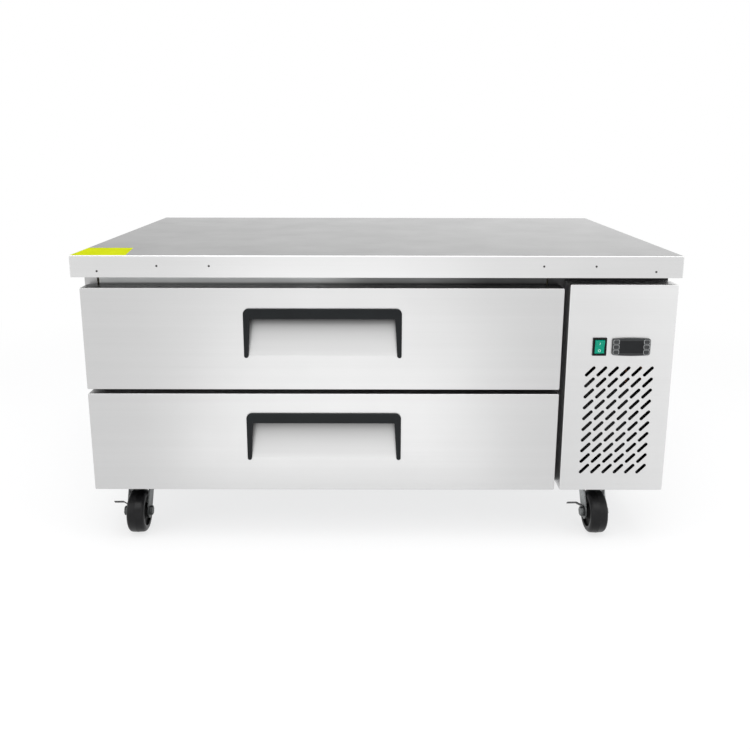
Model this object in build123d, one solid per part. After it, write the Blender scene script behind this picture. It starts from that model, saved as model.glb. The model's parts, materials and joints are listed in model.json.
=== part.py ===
from build123d import *
from math import radians, tan
import os

# A refrigerated chef base with two drawers, on four swivel casters.
# X runs to the right as seen from the front, the front faces -Y and Z is up.
# The origin is on the floor, under the middle of the worktop. All lengths are in millimetres.

# Whole object
overall_height = 676.0
worktop_width = 1327.0
worktop_depth = 838.0
cut_overrun = 5.0

# Worktop
worktop_skirt = 48.0
worktop_gauge = 1.5
worktop_bend = 2.5
worktop_hem = 5.0
stiffener_height = 20.0
stiffener_crown = 44.0
stiffener_flange = 16.0
stiffener_end_gap = 16.0
stiffener_count = 4
screw_head_radius = 2.3
screw_head_depth = 0.7
screw_shank_radius = 1.5
screw_shank_length = 8.0
screw_clearance = 0.1
screw_low_inset = 58.7
screw_low_drop = 34.6
screw_high_insets = (188.5, 301.5)
screw_high_drop = 23.0

# Cabinet shell
side_inset = 8.5
back_inset = 14.0
sheet_gauge = 1.0
base_gauge = 1.5
left_front_flange = 28.0
right_front_flange = 16.0
rear_flange = 18.0
side_foam = 54.0
partition_foam = 65.0
floor_foam = 40.5
ceiling_foam = 64.5
rear_foam = 58.0
liner_gauge = 0.8
machine_bay_width = 227.0
divider_flange = 42.0

# Rear grille
grille_slot_length = 78.0
grille_slot_width = 6.0
grille_pitch_x = 92.0
grille_pitch_z = 15.0
grille_columns = 2
grille_rows = 14
grille_middle_drop = 224.5

# Front frame
frame_depth = 18.0
frame_gauge = 1.2
stile_slit = 5.0
right_stile_width = 20.0
mullion_height = 36.0
breaker_thickness = 2.5
breaker_depth = 40.0
breaker_setback = 1.0

# Drawer fronts
fronts_setback = 9.0
front_left_inset = 6.0
front_top_gap = 24.8
front_gap = 10.0
front_thickness = 44.0
front_corner_radius = 3.0
front_bend_radius = 1.6
skin_gauge = 1.0
inner_panel_gauge = 0.8
gasket_thickness = 9.7
gasket_gap = 0.3
gasket_reach = 12.0
gasket_width = 10.0

# Recessed handle
handle_width = 350.0
handle_top_drop = 45.5
handle_height = 112.0
handle_band = 23.4
handle_leg_top = 14.9
handle_leg_bottom = 9.6
handle_corner_radius = 13.0
handle_inner_radius = 2.0
handle_proud = 5.0
handle_edge_round = 1.5
scoop_depth = 30.0
scoop_side_overlap = 7.0
scoop_top_overlap = 4.0
scoop_bottom_overlap = 5.0
scoop_gauge = 1.0

# Pan frame and slides
pan_frame_drop = 21.6
pan_frame_height = 60.0
pan_frame_gauge = 1.5
pan_frame_back_gap = 75.2
pan_column_share = 0.371
ledge_width = 12.0
ledge_drop = 8.0
divider_bar_width = 14.0
divider_bar_height = 20.0
post_depth = 25.0
post_width = 20.0
post_front_inset = 24.0
post_rear_inset = 12.0
slide_front_gap = 27.0
slide_height = 45.0
slide_depth = 12.0
slide_standoff = 1.0
slide_gauge = 1.5
slide_clearance = 0.4
slide_drop = 9.0

# Evaporator
evaporator_width = 340.0
evaporator_depth = 100.0
evaporator_height = 218.0
evaporator_side_gap = 4.0
evaporator_top_gap = 3.0
evaporator_coil_width = 150.0
evaporator_coil_depth = 62.0
evaporator_coil_height = 190.0
evaporator_fan_radius = 72.0
evaporator_fan_opening_radius = 76.0
evaporator_fan_from_left = 90.0
intake_slot_width = 6.0
intake_slot_height = 150.0
intake_slot_pitch = 16.0
intake_slot_count = 8

# Fins of both coils
coil_fin_gap = 3.0
coil_fin_pitch = 9.0
coil_groove_depth = 3.0

# Fans and fan motors
fan_hub_radius = 20.0
fan_depth = 22.0
fan_blade_count = 5
fan_blade_thickness = 1.6
fan_blade_pitch = 32.0
motor_radius = 34.0
motor_length = 42.0
motor_shaft_radius = 4.0
motor_shaft_clearance = 0.05
motor_end_gap = 1.0
motor_round = 5.0
fan_motor_gap = 16.0

# Machine bay front panel
panel_gap_left = 12.2
panel_overlap_left = 4.2
panel_overhang_right = 5.5
panel_top_gap = 16.0
panel_gauge = 1.2
panel_hem = 10.0
panel_corner_radius = 3.0
panel_bend_radius = 1.6
vent_columns = 6
vent_rows = 10
vent_pitch_x = 26.0
vent_foot_gap = 52.9
vent_controls_gap = 57.4
vent_length = 30.4
vent_width = 7.4
vent_angle = 46.0
vent_middle_from_right = 117.5

# Rocker switch
switch_middle_from_left = 71.2
controls_share = 0.7106
switch_width = 31.0
switch_height = 41.0
switch_proud = 2.5
switch_corner_radius = 1.5
switch_body_width = 27.0
switch_body_height = 37.0
switch_body_depth = 22.0
switch_floor = 2.0
cutout_clearance = 0.2
rocker_width = 21.0
rocker_radius = 15.8
rocker_clearance = 0.4
rocker_pivot_depth = 2.0
rocker_front = 4.0
rocker_back = 3.0
rocker_tilt = 8.0
rocker_pin_radius = 1.5
rocker_pin_length = 1.7
rocker_pin_clearance = 0.05

# Temperature controller
controller_middle_from_left = 140.95
controller_width = 84.7
controller_height = 41.0
controller_bow = 2.0
controller_corner_radius = 5.0
controller_proud = 5.0
controller_edge_round = 1.5
controller_body_width = 71.0
controller_body_height = 29.0
controller_body_depth = 52.0
window_width = 56.0
window_height = 28.0
window_recess = 0.8
key_size = 8.6
key_corner_radius = 1.2
key_thickness = 2.8
key_proud = 0.7
key_travel = 0.5
key_clearance = 0.3
key_column_inset = 8.6
key_row_pitch = 11.6

# Condensing unit
unit_base_gauge = 2.0
unit_base_lip = 16.0
unit_base_side_gap = 4.0
unit_base_front_gap = 12.0
unit_base_back_gap = 12.0
condenser_width = 196.0
condenser_depth = 44.0
condenser_share = 0.4772
condenser_foot = 6.0
condenser_tube_radius = 4.8
condenser_tube_rows = 7
condenser_bend_reach = 5.0
shroud_depth = 30.0
shroud_gauge = 1.2
shroud_opening_radius = 86.0
condenser_fan_radius = 82.0
motor_bracket_width = 30.0
motor_bracket_gauge = 2.0
compressor_radius = 72.0
compressor_height = 168.0
compressor_dome = 34.0
compressor_seam = 4.0
compressor_seam_height = 8.0
compressor_plate = 3.0
compressor_plate_size = 172.0
compressor_foot_radius = 13.0
compressor_foot_height = 14.0
compressor_y = 90.0
terminal_width = 52.0
terminal_depth = 26.0
terminal_height = 60.0
stub_radius = 5.5
stub_length = 14.0
stub_drop = 60.0
stub_spread = 26.0

# Refrigerant pipes
pipe_radius = 4.0
pipe_bend = 18.0
suction_radius = 6.0
suction_bend = 24.0
drier_radius = 13.0
drier_length = 95.0
pipe_hole_clearance = 1.0
pipe_side_gap = 26.0
pipe_back_gap = 32.2
suction_pipe_rise = 71.8
liquid_pipe_rise = 131.8
discharge_inset = 14.0
discharge_rise = 56.0
discharge_loop = 40.0
liquid_inset = 49.0
liquid_rise = 36.0
drier_start_y = -150.0

# Junction box and cord gland
junction_width = 40.0
junction_depth = 110.0
junction_height = 90.0
junction_wall = 2.0
junction_y = -40.0
junction_z = 330.0
gland_x_from_right = 90.0
gland_height = 190.0
gland_thread_radius = 10.0
gland_bore_radius = 5.2
gland_body_length = 14.0
gland_dome_length = 13.0
gland_nut_across = 26.0
gland_nut_length = 6.0
gland_inner_length = 10.0
gland_round = 2.0
gland_clearance = 0.1

# Casters
caster_height = 130.0
caster_plate_x = 84.0
caster_plate_y = 76.0
caster_plate_gauge = 4.0
caster_plate_radius = 6.0
caster_bolt_inset = 11.0
caster_bolt_across = 13.0
caster_bolt_head = 5.0
wheel_radius = 50.8
wheel_width = 41.0
wheel_round = 9.5
wheel_dish_outer = 36.0
wheel_dish_inner = 17.0
wheel_dish_depth = 6.0
hub_width = 44.0
axle_radius = 6.0
axle_clearance = 0.05
caster_trail = 35.0
crown_radius = 36.0
crown_gap = 2.5
crown_thickness = 6.0
race_radius = 30.0
race_gap = 0.3
kingpin_radius = 6.0
kingpin_nut_radius = 9.0
kingpin_nut_height = 6.0
fork_leg_gauge = 3.0
fork_hub_gap = 0.5
fork_leg_foot_radius = 18.0
fork_leg_top_width = 46.0
axle_hole_clearance = 0.1
axle_nut_across = 19.0
axle_nut_length = 6.5
lever_gauge = 2.0
lever_gap = 0.3
lever_ring_radius = 12.0
lever_strip_width = 9.0
lever_lean = 42.0
lever_flat = 13.0
lever_rise = 21.1
lever_crank = 13.7
lever_pedal_length = 22.0
lever_bend_radius = 3.0
caster_front_inset = 99.0
caster_rear_inset = 89.0
caster_left_inset = 87.5
caster_right_inset = 132.8
front_left_angle = 1.5
front_right_angle = 2.3
rear_left_angle = 172.0
rear_right_angle = 191.0

# Heights
worktop_bottom = overall_height - worktop_skirt
worktop_underside = overall_height - worktop_gauge
body_top = worktop_underside - stiffener_height
body_bottom = caster_height
floor_sheet_top = body_bottom + base_gauge
opening_bottom = floor_sheet_top + floor_foam
opening_top = body_top - ceiling_foam
front_height = (worktop_bottom - front_top_gap - body_bottom - front_gap) / 2
front_pitch = front_height + front_gap
mullion_middle = body_bottom + front_height + front_gap / 2
lower_opening = (opening_bottom, mullion_middle - mullion_height / 2)
upper_opening = (mullion_middle + mullion_height / 2, opening_top)
panel_top = worktop_bottom - panel_top_gap
condenser_height = condenser_share * (panel_top - body_bottom)
controls_height = body_bottom + controls_share * (panel_top - body_bottom)
vent_foot = body_bottom + vent_foot_gap
vent_head = controls_height - vent_controls_gap
vent_pitch_z = (vent_head - vent_foot) / (vent_rows - 1)
vent_middle_height = (vent_foot + vent_head) / 2
grille_middle_height = body_top - grille_middle_drop

# Places from front to back
worktop_front = -worktop_depth / 2
worktop_back = worktop_depth / 2
body_back = worktop_back - back_inset
fronts_face = worktop_front + fronts_setback
inner_face = fronts_face + front_thickness
frame_face = inner_face + gasket_thickness + gasket_gap
foam_front = frame_face + frame_depth
liner_front = frame_face + breaker_depth
back_sheet_face = body_back - 2 * sheet_gauge
liner_back = back_sheet_face - rear_foam

# Places from left to right
body_left = -worktop_width / 2 + side_inset
body_right = worktop_width / 2 - side_inset
opening_left = body_left + sheet_gauge + side_foam
divider_face = body_right - machine_bay_width
opening_right = divider_face - sheet_gauge - partition_foam
panel_left = divider_face - panel_overlap_left
panel_right = body_right + panel_overhang_right
front_left = body_left + front_left_inset
front_right = panel_left - panel_gap_left
handle_middle = (front_left + front_right) / 2

# Cold space inside the liner
cold_x = (opening_left + liner_gauge, opening_right - liner_gauge)
cold_back = liner_back - liner_gauge
cold_z = (opening_bottom + liner_gauge, opening_top - liner_gauge)

# Slides and pan frames
pan_frame_x = (
    cold_x[0] + post_depth + slide_depth + slide_standoff,
    cold_x[1] - post_depth - slide_depth - slide_standoff,
)
pan_frame_y = (inner_face, cold_back - evaporator_depth - pan_frame_back_gap)
slide_y = (pan_frame_y[0] + slide_front_gap, pan_frame_y[1])
tiers = {
    "lower": (body_bottom, lower_opening),
    "upper": (body_bottom + front_pitch, upper_opening),
}

# Machine bay
bay_x = (divider_face, body_right - sheet_gauge)
bay_middle = (bay_x[0] + bay_x[1]) / 2
unit_base_top = floor_sheet_top + unit_base_gauge
condenser_y = (
    frame_face + unit_base_front_gap + condenser_foot,
    frame_face + unit_base_front_gap + condenser_foot + condenser_depth,
)
condenser_z = (unit_base_top, unit_base_top + condenser_height)
condenser_fan_z = (condenser_z[0] + condenser_z[1]) / 2
shroud_back = condenser_y[1] + shroud_depth
compressor_floor = unit_base_top + compressor_foot_height
switch_x = panel_left + switch_middle_from_left
controller_x = panel_left + controller_middle_from_left

# Casters, as the kingpin's X and Y and the turn of the fork
wheel_top_clear = 2 * wheel_radius + crown_gap
caster_x = (body_left + caster_left_inset, body_right - caster_right_inset)
caster_y = (worktop_front + caster_front_inset, worktop_back - caster_rear_inset)
casters = {
    "front_left": (caster_x[0], caster_y[0], front_left_angle),
    "front_right": (caster_x[1], caster_y[0], front_right_angle),
    "rear_left": (caster_x[0], caster_y[1], rear_left_angle),
    "rear_right": (caster_x[1], caster_y[1], rear_right_angle),
}


def block(x, y, z):
    """A box that spans three (low, high) pairs."""
    middle = Pos((x[0] + x[1]) / 2, (y[0] + y[1]) / 2, (z[0] + z[1]) / 2)
    return middle * Box(x[1] - x[0], y[1] - y[0], z[1] - z[0])


def shrink(pair, amount):
    """A (low, high) pair drawn in by the same amount at both ends."""
    return (pair[0] + amount, pair[1] - amount)


def span(start, step):
    """The (low, high) pair that a step of either sign covers."""
    return (min(start, start + step), max(start, start + step))


def around(middle, width):
    """The (low, high) pair of a width about its middle."""
    return (middle - width / 2, middle + width / 2)


def rod_x(radius, x, y, z):
    """A cylinder along X over a (low, high) pair."""
    return Pos((x[0] + x[1]) / 2, y, z) * Rot(0, 90, 0) * Cylinder(radius, x[1] - x[0])


def rod_y(radius, x, y, z):
    """A cylinder along Y over a (low, high) pair."""
    return Pos(x, (y[0] + y[1]) / 2, z) * Rot(90, 0, 0) * Cylinder(radius, y[1] - y[0])


def rod_z(radius, x, y, z):
    """A cylinder along Z over a (low, high) pair."""
    return Pos(x, y, (z[0] + z[1]) / 2) * Cylinder(radius, z[1] - z[0])


def backwards(sketch, y, x=0, z=0):
    """A sketch drawn in X and Z, extruded over a (low, high) pair of Y."""
    placed = Pos(x, y[0], z) * (Plane.XZ * sketch)
    return extrude(placed, y[1] - y[0], dir=(0, 1, 0))


def sideways(sketch, x, y=0, z=0):
    """A sketch drawn in Y and Z, extruded over a (low, high) pair of X."""
    placed = Pos(x[0], y, z) * (Plane.YZ * sketch)
    return extrude(placed, x[1] - x[0], dir=(1, 0, 0))


def hex_x(across, x, y, z):
    """A hexagonal nut or head along X."""
    return sideways(RegularPolygon(across / 2, 6, major_radius=False), x, y, z)


def group(shapes):
    """Several separate solids of one kind as one piece."""
    solids = []
    for shape in shapes:
        solids.extend(shape.solids())
    return Compound(solids)


# Worktop: one sheet folded down on all sides, hemmed inwards, with holes for the fascia screws


def screw_places():
    """The places of the fascia screws, as X and height."""
    places = []
    for side in (-1, 1):
        low_x = side * (worktop_width / 2 - screw_low_inset)
        places.append((low_x, overall_height - screw_low_drop))
        for inset in screw_high_insets:
            high_x = side * (worktop_width / 2 - inset)
            places.append((high_x, overall_height - screw_high_drop))
    return places


def worktop():
    x = (-worktop_width / 2, worktop_width / 2)
    y = (worktop_front, worktop_back)
    outer = block(x, y, (worktop_bottom, overall_height))
    bends = outer.edges().group_by(Axis.Z)[-1] + outer.edges().filter_by(Axis.Z)
    outer = fillet(bends, worktop_bend)
    inside = (worktop_bottom + worktop_gauge, worktop_underside)
    outer -= block(shrink(x, worktop_gauge), shrink(y, worktop_gauge), inside)
    mouth = (worktop_bottom - cut_overrun, worktop_bottom + worktop_gauge + cut_overrun)
    outer -= block(shrink(x, worktop_hem), shrink(y, worktop_hem), mouth)
    for place_x, place_z in screw_places():
        hole = span(worktop_front - cut_overrun, 2 * cut_overrun)
        sink = span(worktop_front - cut_overrun, cut_overrun + screw_head_depth)
        outer -= rod_y(screw_shank_radius + screw_clearance, place_x, hole, place_z)
        outer -= rod_y(screw_head_radius + screw_clearance, place_x, sink, place_z)
    return outer


def worktop_screws():
    screws = []
    for place_x, place_z in screw_places():
        head = rod_y(screw_head_radius, place_x, span(worktop_front, screw_head_depth), place_z)
        shank = rod_y(screw_shank_radius, place_x, span(worktop_front, screw_shank_length), place_z)
        screws.append(head + shank)
    return group(screws)


def worktop_stiffeners():
    channels = []
    y = shrink((worktop_front, worktop_back), stiffener_end_gap)
    z = (body_top, worktop_underside)
    step = worktop_width / stiffener_count
    for index in range(stiffener_count):
        middle = -worktop_width / 2 + step * (index + 1 / 2)
        crown = around(middle, stiffener_crown)
        channel = block(crown, y, z)
        channel -= block(shrink(crown, worktop_gauge), shrink(y, -cut_overrun),
                         (z[0] + worktop_gauge, z[1] + cut_overrun))
        top = (z[1] - worktop_gauge, z[1])
        channel += block(span(crown[0], -stiffener_flange), y, top)
        channel += block(span(crown[1], stiffener_flange), y, top)
        channels.append(channel)
    return group(channels)


# Cabinet shell: folded outer sheets


def side_panel(outer_x, inward, front_flange):
    """One outer side sheet with a flange at its front and at its back."""
    z = (body_bottom, body_top)
    panel = block(span(outer_x, inward * sheet_gauge), (frame_face, body_back), z)
    panel += block(span(outer_x, inward * front_flange), span(frame_face, sheet_gauge), z)
    panel += block(span(outer_x, inward * rear_flange), span(body_back, -sheet_gauge), z)
    return panel


def gland_place():
    return body_right - gland_x_from_right, gland_height


def back_panel():
    x = shrink((body_left, body_right), sheet_gauge)
    y = span(back_sheet_face, sheet_gauge)
    panel = block(x, y, (body_bottom, body_top))
    slot = SlotOverall(grille_slot_length, grille_slot_width)
    places = GridLocations(grille_pitch_x, grille_pitch_z, grille_columns, grille_rows)
    slots = Sketch() + [place * slot for place in places]
    panel -= backwards(slots, shrink(y, -cut_overrun), bay_middle, grille_middle_height)
    gland_x, gland_z = gland_place()
    hole = gland_thread_radius + gland_clearance
    return panel - rod_y(hole, gland_x, shrink(y, -cut_overrun), gland_z)


def base_panel():
    x = shrink((body_left, body_right), sheet_gauge)
    return block(x, (frame_face + sheet_gauge, back_sheet_face), (body_bottom, floor_sheet_top))


def machine_divider():
    z = (floor_sheet_top, body_top)
    sheet_x = span(divider_face, -sheet_gauge)
    divider = block(sheet_x, (frame_face + sheet_gauge, back_sheet_face), z)
    divider += block(span(divider_face, -divider_flange), span(frame_face, sheet_gauge), z)
    return divider - pipe_passage(shrink(sheet_x, -cut_overrun))


# Front frame: five folded channel bars, welded where they meet


def channel_bar(x, z):
    """One bar of the frame, open towards the foam behind it."""
    bar = block(x, (frame_face, foam_front), z)
    hollow_y = (frame_face + frame_gauge, foam_front + cut_overrun)
    return bar - block(shrink(x, frame_gauge), hollow_y, shrink(z, frame_gauge))


def front_frame():
    full = (floor_sheet_top, body_top)
    between = (opening_left, opening_right)
    return group([
        channel_bar((body_left + left_front_flange + stile_slit, opening_left), full),
        channel_bar(span(opening_right, right_stile_width), full),
        channel_bar(between, (opening_top, body_top)),
        channel_bar(between, (floor_sheet_top, opening_bottom)),
        channel_bar(between, (lower_opening[1], upper_opening[0])),
    ])


def breaker_strips():
    """Plastic strips that line the two drawer openings, butted at the corners."""
    strips = []
    start = frame_face + breaker_setback
    across = (opening_left, opening_right)
    for z, outer_edge, inner_edge in (
        (lower_opening, span(lower_opening[0], breaker_thickness),
         span(lower_opening[1], -breaker_thickness)),
        (upper_opening, span(upper_opening[1], -breaker_thickness),
         span(upper_opening[0], breaker_thickness)),
    ):
        strips.append(block(across, (start, liner_front), outer_edge))
        strips.append(block(across, (start, foam_front), inner_edge))
        between = shrink(z, breaker_thickness)
        strips.append(block(span(opening_left, breaker_thickness), (start, liner_front), between))
        strips.append(block(span(opening_right, -breaker_thickness), (start, liner_front), between))
    return group(strips)


# Foam and liner


def insulation():
    """Five slabs that touch along their edges."""
    full_z = (floor_sheet_top, body_top)
    full_y = (foam_front, back_sheet_face)
    across = (opening_left, opening_right)
    partition = (opening_right, divider_face - sheet_gauge)
    return group([
        block((body_left + sheet_gauge, opening_left), full_y, full_z),
        block(partition, full_y, full_z) - pipe_passage(shrink(partition, -cut_overrun)),
        block(across, (liner_back, back_sheet_face), full_z),
        block(across, (foam_front, liner_back), (floor_sheet_top, opening_bottom)),
        block(across, (foam_front, liner_back), (opening_top, body_top)),
    ])


def liner():
    shell = block((opening_left, opening_right), (liner_front, liner_back),
                  (opening_bottom, opening_top))
    shell -= block(cold_x, (liner_front - cut_overrun, cold_back), cold_z)
    return shell - pipe_passage(shrink((cold_x[1], opening_right), -cut_overrun))


def pipe_passage(x):
    """The two holes that the pipes take through the wall of the cold space."""
    suction_hole = suction_radius + pipe_hole_clearance
    liquid_hole = pipe_radius + pipe_hole_clearance
    holes = rod_x(suction_hole, x, pipe_partition_y, suction_pipe_height)
    return holes + rod_x(liquid_hole, x, pipe_partition_y, liquid_pipe_height)


# Drawer runners: posts on the liner, with an outer slide member for each side of each drawer


def slide_z(front_bottom):
    """The height span of a drawer's slides."""
    top = front_bottom + front_height - pan_frame_drop - slide_drop
    return (top - slide_height, top)


def slide_channel(web_x, inward, depth, y, z):
    """A channel along Y with its web at web_x and its flanges pointing inward."""
    channel = block(span(web_x, inward * depth), y, z)
    hollow = span(web_x + inward * slide_gauge, inward * (depth + cut_overrun))
    return channel - block(hollow, shrink(y, -cut_overrun), shrink(z, slide_gauge))


def drawer_runners():
    pieces = []
    for wall, inward in ((cold_x[0], 1), (cold_x[1], -1)):
        for y in (span(slide_y[0] + post_front_inset, post_width),
                  span(slide_y[1] - post_rear_inset, -post_width)):
            pieces.append(block(span(wall, inward * post_depth), y, cold_z))
        for front_bottom, _ in tiers.values():
            web = wall + inward * post_depth
            pieces.append(slide_channel(web, inward, slide_depth, slide_y, slide_z(front_bottom)))
    return group(pieces)


def intermediate_slides(front_bottom):
    """The middle members of one drawer's pair of slides."""
    members = []
    z = shrink(slide_z(front_bottom), slide_gauge + slide_clearance)
    depth = slide_depth - 2 * slide_clearance
    for wall, inward in ((cold_x[0], 1), (cold_x[1], -1)):
        web = wall + inward * (post_depth + slide_gauge + slide_clearance)
        members.append(slide_channel(web, inward, depth - slide_gauge, slide_y, z))
    return group(members)


# Drawer front: folded skin with the pressed scoop, foam core, inner panel, gasket and handle


def scoop_prism(front_bottom, grow):
    """The wedge of the finger scoop: deep at the top, level with the skin at the bottom."""
    top = front_bottom + front_height - handle_top_drop - scoop_top_overlap + grow
    bottom = front_bottom + front_height - handle_top_drop - handle_height + scoop_bottom_overlap
    wedge = Polygon(
        (fronts_face, bottom - grow),
        (fronts_face + scoop_depth + grow, top),
        (fronts_face, top),
        align=None,
    )
    return sideways(wedge, around(handle_middle, handle_width - 2 * scoop_side_overlap + 2 * grow))


def drawer_skin(front_bottom):
    x = (front_left, front_right)
    y = (fronts_face, inner_face)
    z = span(front_bottom, front_height)
    skin = block(x, y, z)
    skin = fillet(skin.edges().filter_by(Axis.Y), front_corner_radius)
    skin = fillet(skin.edges().group_by(Axis.Y)[0], front_bend_radius)
    skin -= drawer_core(front_bottom)
    hollow = (inner_face - inner_panel_gauge, inner_face + cut_overrun)
    skin -= block(shrink(x, skin_gauge), hollow, shrink(z, skin_gauge))
    return skin - scoop_prism(front_bottom, 0)


def drawer_core(front_bottom):
    x = shrink((front_left, front_right), skin_gauge)
    y = (fronts_face + skin_gauge, inner_face - inner_panel_gauge)
    core = block(x, y, shrink(span(front_bottom, front_height), skin_gauge))
    return core - scoop_prism(front_bottom, scoop_gauge)


def drawer_inner_panel(front_bottom):
    x = shrink((front_left, front_right), skin_gauge)
    z = shrink(span(front_bottom, front_height), skin_gauge)
    return block(x, span(inner_face, -inner_panel_gauge), z)


def drawer_gasket(opening):
    """A closed ring around the opening, a little clear of the frame."""
    y = span(inner_face, gasket_thickness)
    x = (opening_left, opening_right)
    ring = block(shrink(x, -gasket_reach), y, shrink(opening, -gasket_reach))
    hole_reach = gasket_reach - gasket_width
    return ring - block(shrink(x, -hole_reach), shrink(y, -cut_overrun), shrink(opening, -hole_reach))


def drawer_handle(front_bottom):
    """The moulded surround: a band across the top and two tapered legs."""
    top = front_bottom + front_height - handle_top_drop
    half = handle_width / 2
    outer = Polygon((-half, 0), (half, 0), (half, -handle_height), (-half, -handle_height), align=None)
    corners = outer.vertices().group_by(Axis.Y)[-1]
    outer = fillet(corners, handle_corner_radius)
    inner = Polygon(
        (-half + handle_leg_top, -handle_band),
        (half - handle_leg_top, -handle_band),
        (half - handle_leg_bottom, -handle_height),
        (half - handle_leg_bottom, -handle_height - cut_overrun),
        (-half + handle_leg_bottom, -handle_height - cut_overrun),
        (-half + handle_leg_bottom, -handle_height),
        align=None,
    )
    inner = fillet(inner.vertices().group_by(Axis.Y)[-1], handle_inner_radius)
    outline = outer - inner
    feet = outline.vertices().group_by(Axis.Y)[0]
    outline = fillet(feet, handle_leg_bottom / 3)
    handle = backwards(outline, span(fronts_face, -handle_proud), handle_middle, top)
    return fillet(handle.edges().group_by(Axis.Y)[0], handle_edge_round)


def drawer_pan_frame(front_bottom):
    """Four ledged rails, two divider bars and the inner slide members."""
    top = front_bottom + front_height - pan_frame_drop
    z = (top - pan_frame_height, top)
    ledge_z = span(top - ledge_drop, -pan_frame_gauge)
    x, y = pan_frame_x, pan_frame_y
    inside_x = shrink(x, pan_frame_gauge)
    inside_y = shrink(y, pan_frame_gauge)
    pieces = []
    for wall, inward in ((x[0], 1), (x[1], -1)):
        side = block(span(wall, inward * pan_frame_gauge), y, z)
        ledge = span(wall, inward * (pan_frame_gauge + ledge_width))
        pieces.append(side + block(ledge, shrink(inside_y, ledge_width), ledge_z))
        channel_z = shrink(slide_z(front_bottom), 2 * (slide_gauge + slide_clearance))
        channel_depth = slide_depth + slide_standoff - 2 * (slide_gauge + slide_clearance)
        pieces.append(slide_channel(wall, -inward, channel_depth, slide_y, channel_z))
    for wall, inward in ((y[0], 1), (y[1], -1)):
        end = block(inside_x, span(wall, inward * pan_frame_gauge), z)
        ledge = span(wall, inward * (pan_frame_gauge + ledge_width))
        pieces.append(end + block(inside_x, ledge, ledge_z))
    bar_z = (ledge_z[0] - divider_bar_height, ledge_z[1])
    bar_y = shrink(inside_y, ledge_width)
    pan_column = pan_column_share * (inside_x[1] - inside_x[0])
    for index in range(2):
        start = inside_x[0] + (index + 1) * pan_column + index * divider_bar_width
        pieces.append(block(span(start, divider_bar_width), bar_y, bar_z))
    return group(pieces)


# Evaporator, on the back wall of the cold space


evaporator_x = span(cold_x[1] - evaporator_side_gap, -evaporator_width)
evaporator_y = (cold_back - evaporator_depth, cold_back)
evaporator_z = span(cold_z[1] - evaporator_top_gap, -evaporator_height)
evaporator_fan_x = evaporator_x[0] + evaporator_fan_from_left
evaporator_fan_z = (evaporator_z[0] + evaporator_z[1]) / 2
suction_pipe_height = evaporator_z[0] + suction_pipe_rise
liquid_pipe_height = evaporator_z[0] + liquid_pipe_rise
pipe_partition_y = cold_back - pipe_back_gap
evaporator_motor_front = cold_back - motor_length
evaporator_fan_back = evaporator_motor_front - fan_motor_gap


def motor_solid(x, y_front, y_back, z):
    """A round fan motor whose shaft reaches to the middle of the fan's hub."""
    case = rod_y(motor_radius, x, (y_front, y_back), z)
    case = fillet(case.edges().group_by(Axis.Y)[0], motor_round)
    shaft_y = (y_front - fan_motor_gap - fan_depth / 2, y_back)
    return case + rod_y(motor_shaft_radius, x, shaft_y, z)


def fan_solid(x, y_back, z, radius):
    """A hub with flat pitched blades, bored for the motor shaft."""
    y = (y_back - fan_depth, y_back)
    hub = rod_y(fan_hub_radius, x, y, z)
    sweep_cylinder = rod_y(radius, x, y, z)
    reach = radius - fan_hub_radius / 2
    blade = Pos(fan_hub_radius / 2 + reach / 2, 0, 0) * Rot(fan_blade_pitch, 0, 0) * Box(
        reach, 2 * fan_depth, fan_blade_thickness
    )
    fan = hub
    for index in range(fan_blade_count):
        turned = Pos(x, (y[0] + y[1]) / 2, z) * Rot(0, index * 360 / fan_blade_count, 0) * blade
        fan += turned & sweep_cylinder
    bore = motor_shaft_radius + motor_shaft_clearance
    bore_y = (y_back - fan_depth / 2 - motor_end_gap, y_back + cut_overrun)
    return fan - rod_y(bore, x, bore_y, z)


def evaporator_housing():
    x, y, z = evaporator_x, evaporator_y, evaporator_z
    cover = block(x, y, z)
    cover -= block(shrink(x, sheet_gauge), (y[0] + sheet_gauge, y[1] + cut_overrun), shrink(z, sheet_gauge))
    face = (y[0] - cut_overrun, y[0] + cut_overrun)
    cover -= rod_y(evaporator_fan_opening_radius, evaporator_fan_x, face, evaporator_fan_z)
    first = x[1] - evaporator_coil_width / 2 - intake_slot_pitch * (intake_slot_count - 1) / 2
    for index in range(intake_slot_count):
        slot_x = around(first + index * intake_slot_pitch, intake_slot_width)
        cover -= block(slot_x, face, around(evaporator_fan_z, intake_slot_height))
    cover -= pipe_passage(span(x[1] + cut_overrun, -2 * cut_overrun))
    motor = motor_solid(evaporator_fan_x, evaporator_motor_front, cold_back, evaporator_fan_z)
    return group([cover, motor])


def finned_coil(x, y, z, fin_from, fin_to, pitch):
    """A solid fin pack, grooved between its fins along the front and the back."""
    pack = block(x, y, z)
    count = int((fin_to - fin_from) / pitch)
    for index in range(count):
        groove = span(fin_from + index * pitch, coil_fin_gap)
        for face, inward in ((y[0], 1), (y[1], -1)):
            cut = span(face - inward * cut_overrun, inward * (cut_overrun + coil_groove_depth))
            pack -= block(groove, cut, shrink(z, coil_groove_depth))
    return pack


def evaporator_coil():
    x = span(evaporator_x[1] - pipe_side_gap, -evaporator_coil_width)
    y = span(cold_back, -evaporator_coil_depth)
    z = span(evaporator_z[0] + sheet_gauge, evaporator_coil_height)
    return finned_coil(x, y, z, x[0] + coil_fin_pitch, x[1] - coil_fin_pitch,
                       coil_fin_pitch)


def evaporator_fan():
    return fan_solid(evaporator_fan_x, evaporator_fan_back, evaporator_fan_z, evaporator_fan_radius)


# Machine bay front panel with its controls


def vent_slots():
    slot = SlotOverall(vent_length, vent_width, rotation=vent_angle)
    places = GridLocations(vent_pitch_x, vent_pitch_z, vent_columns, vent_rows)
    return Sketch() + [place * slot for place in places]


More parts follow.
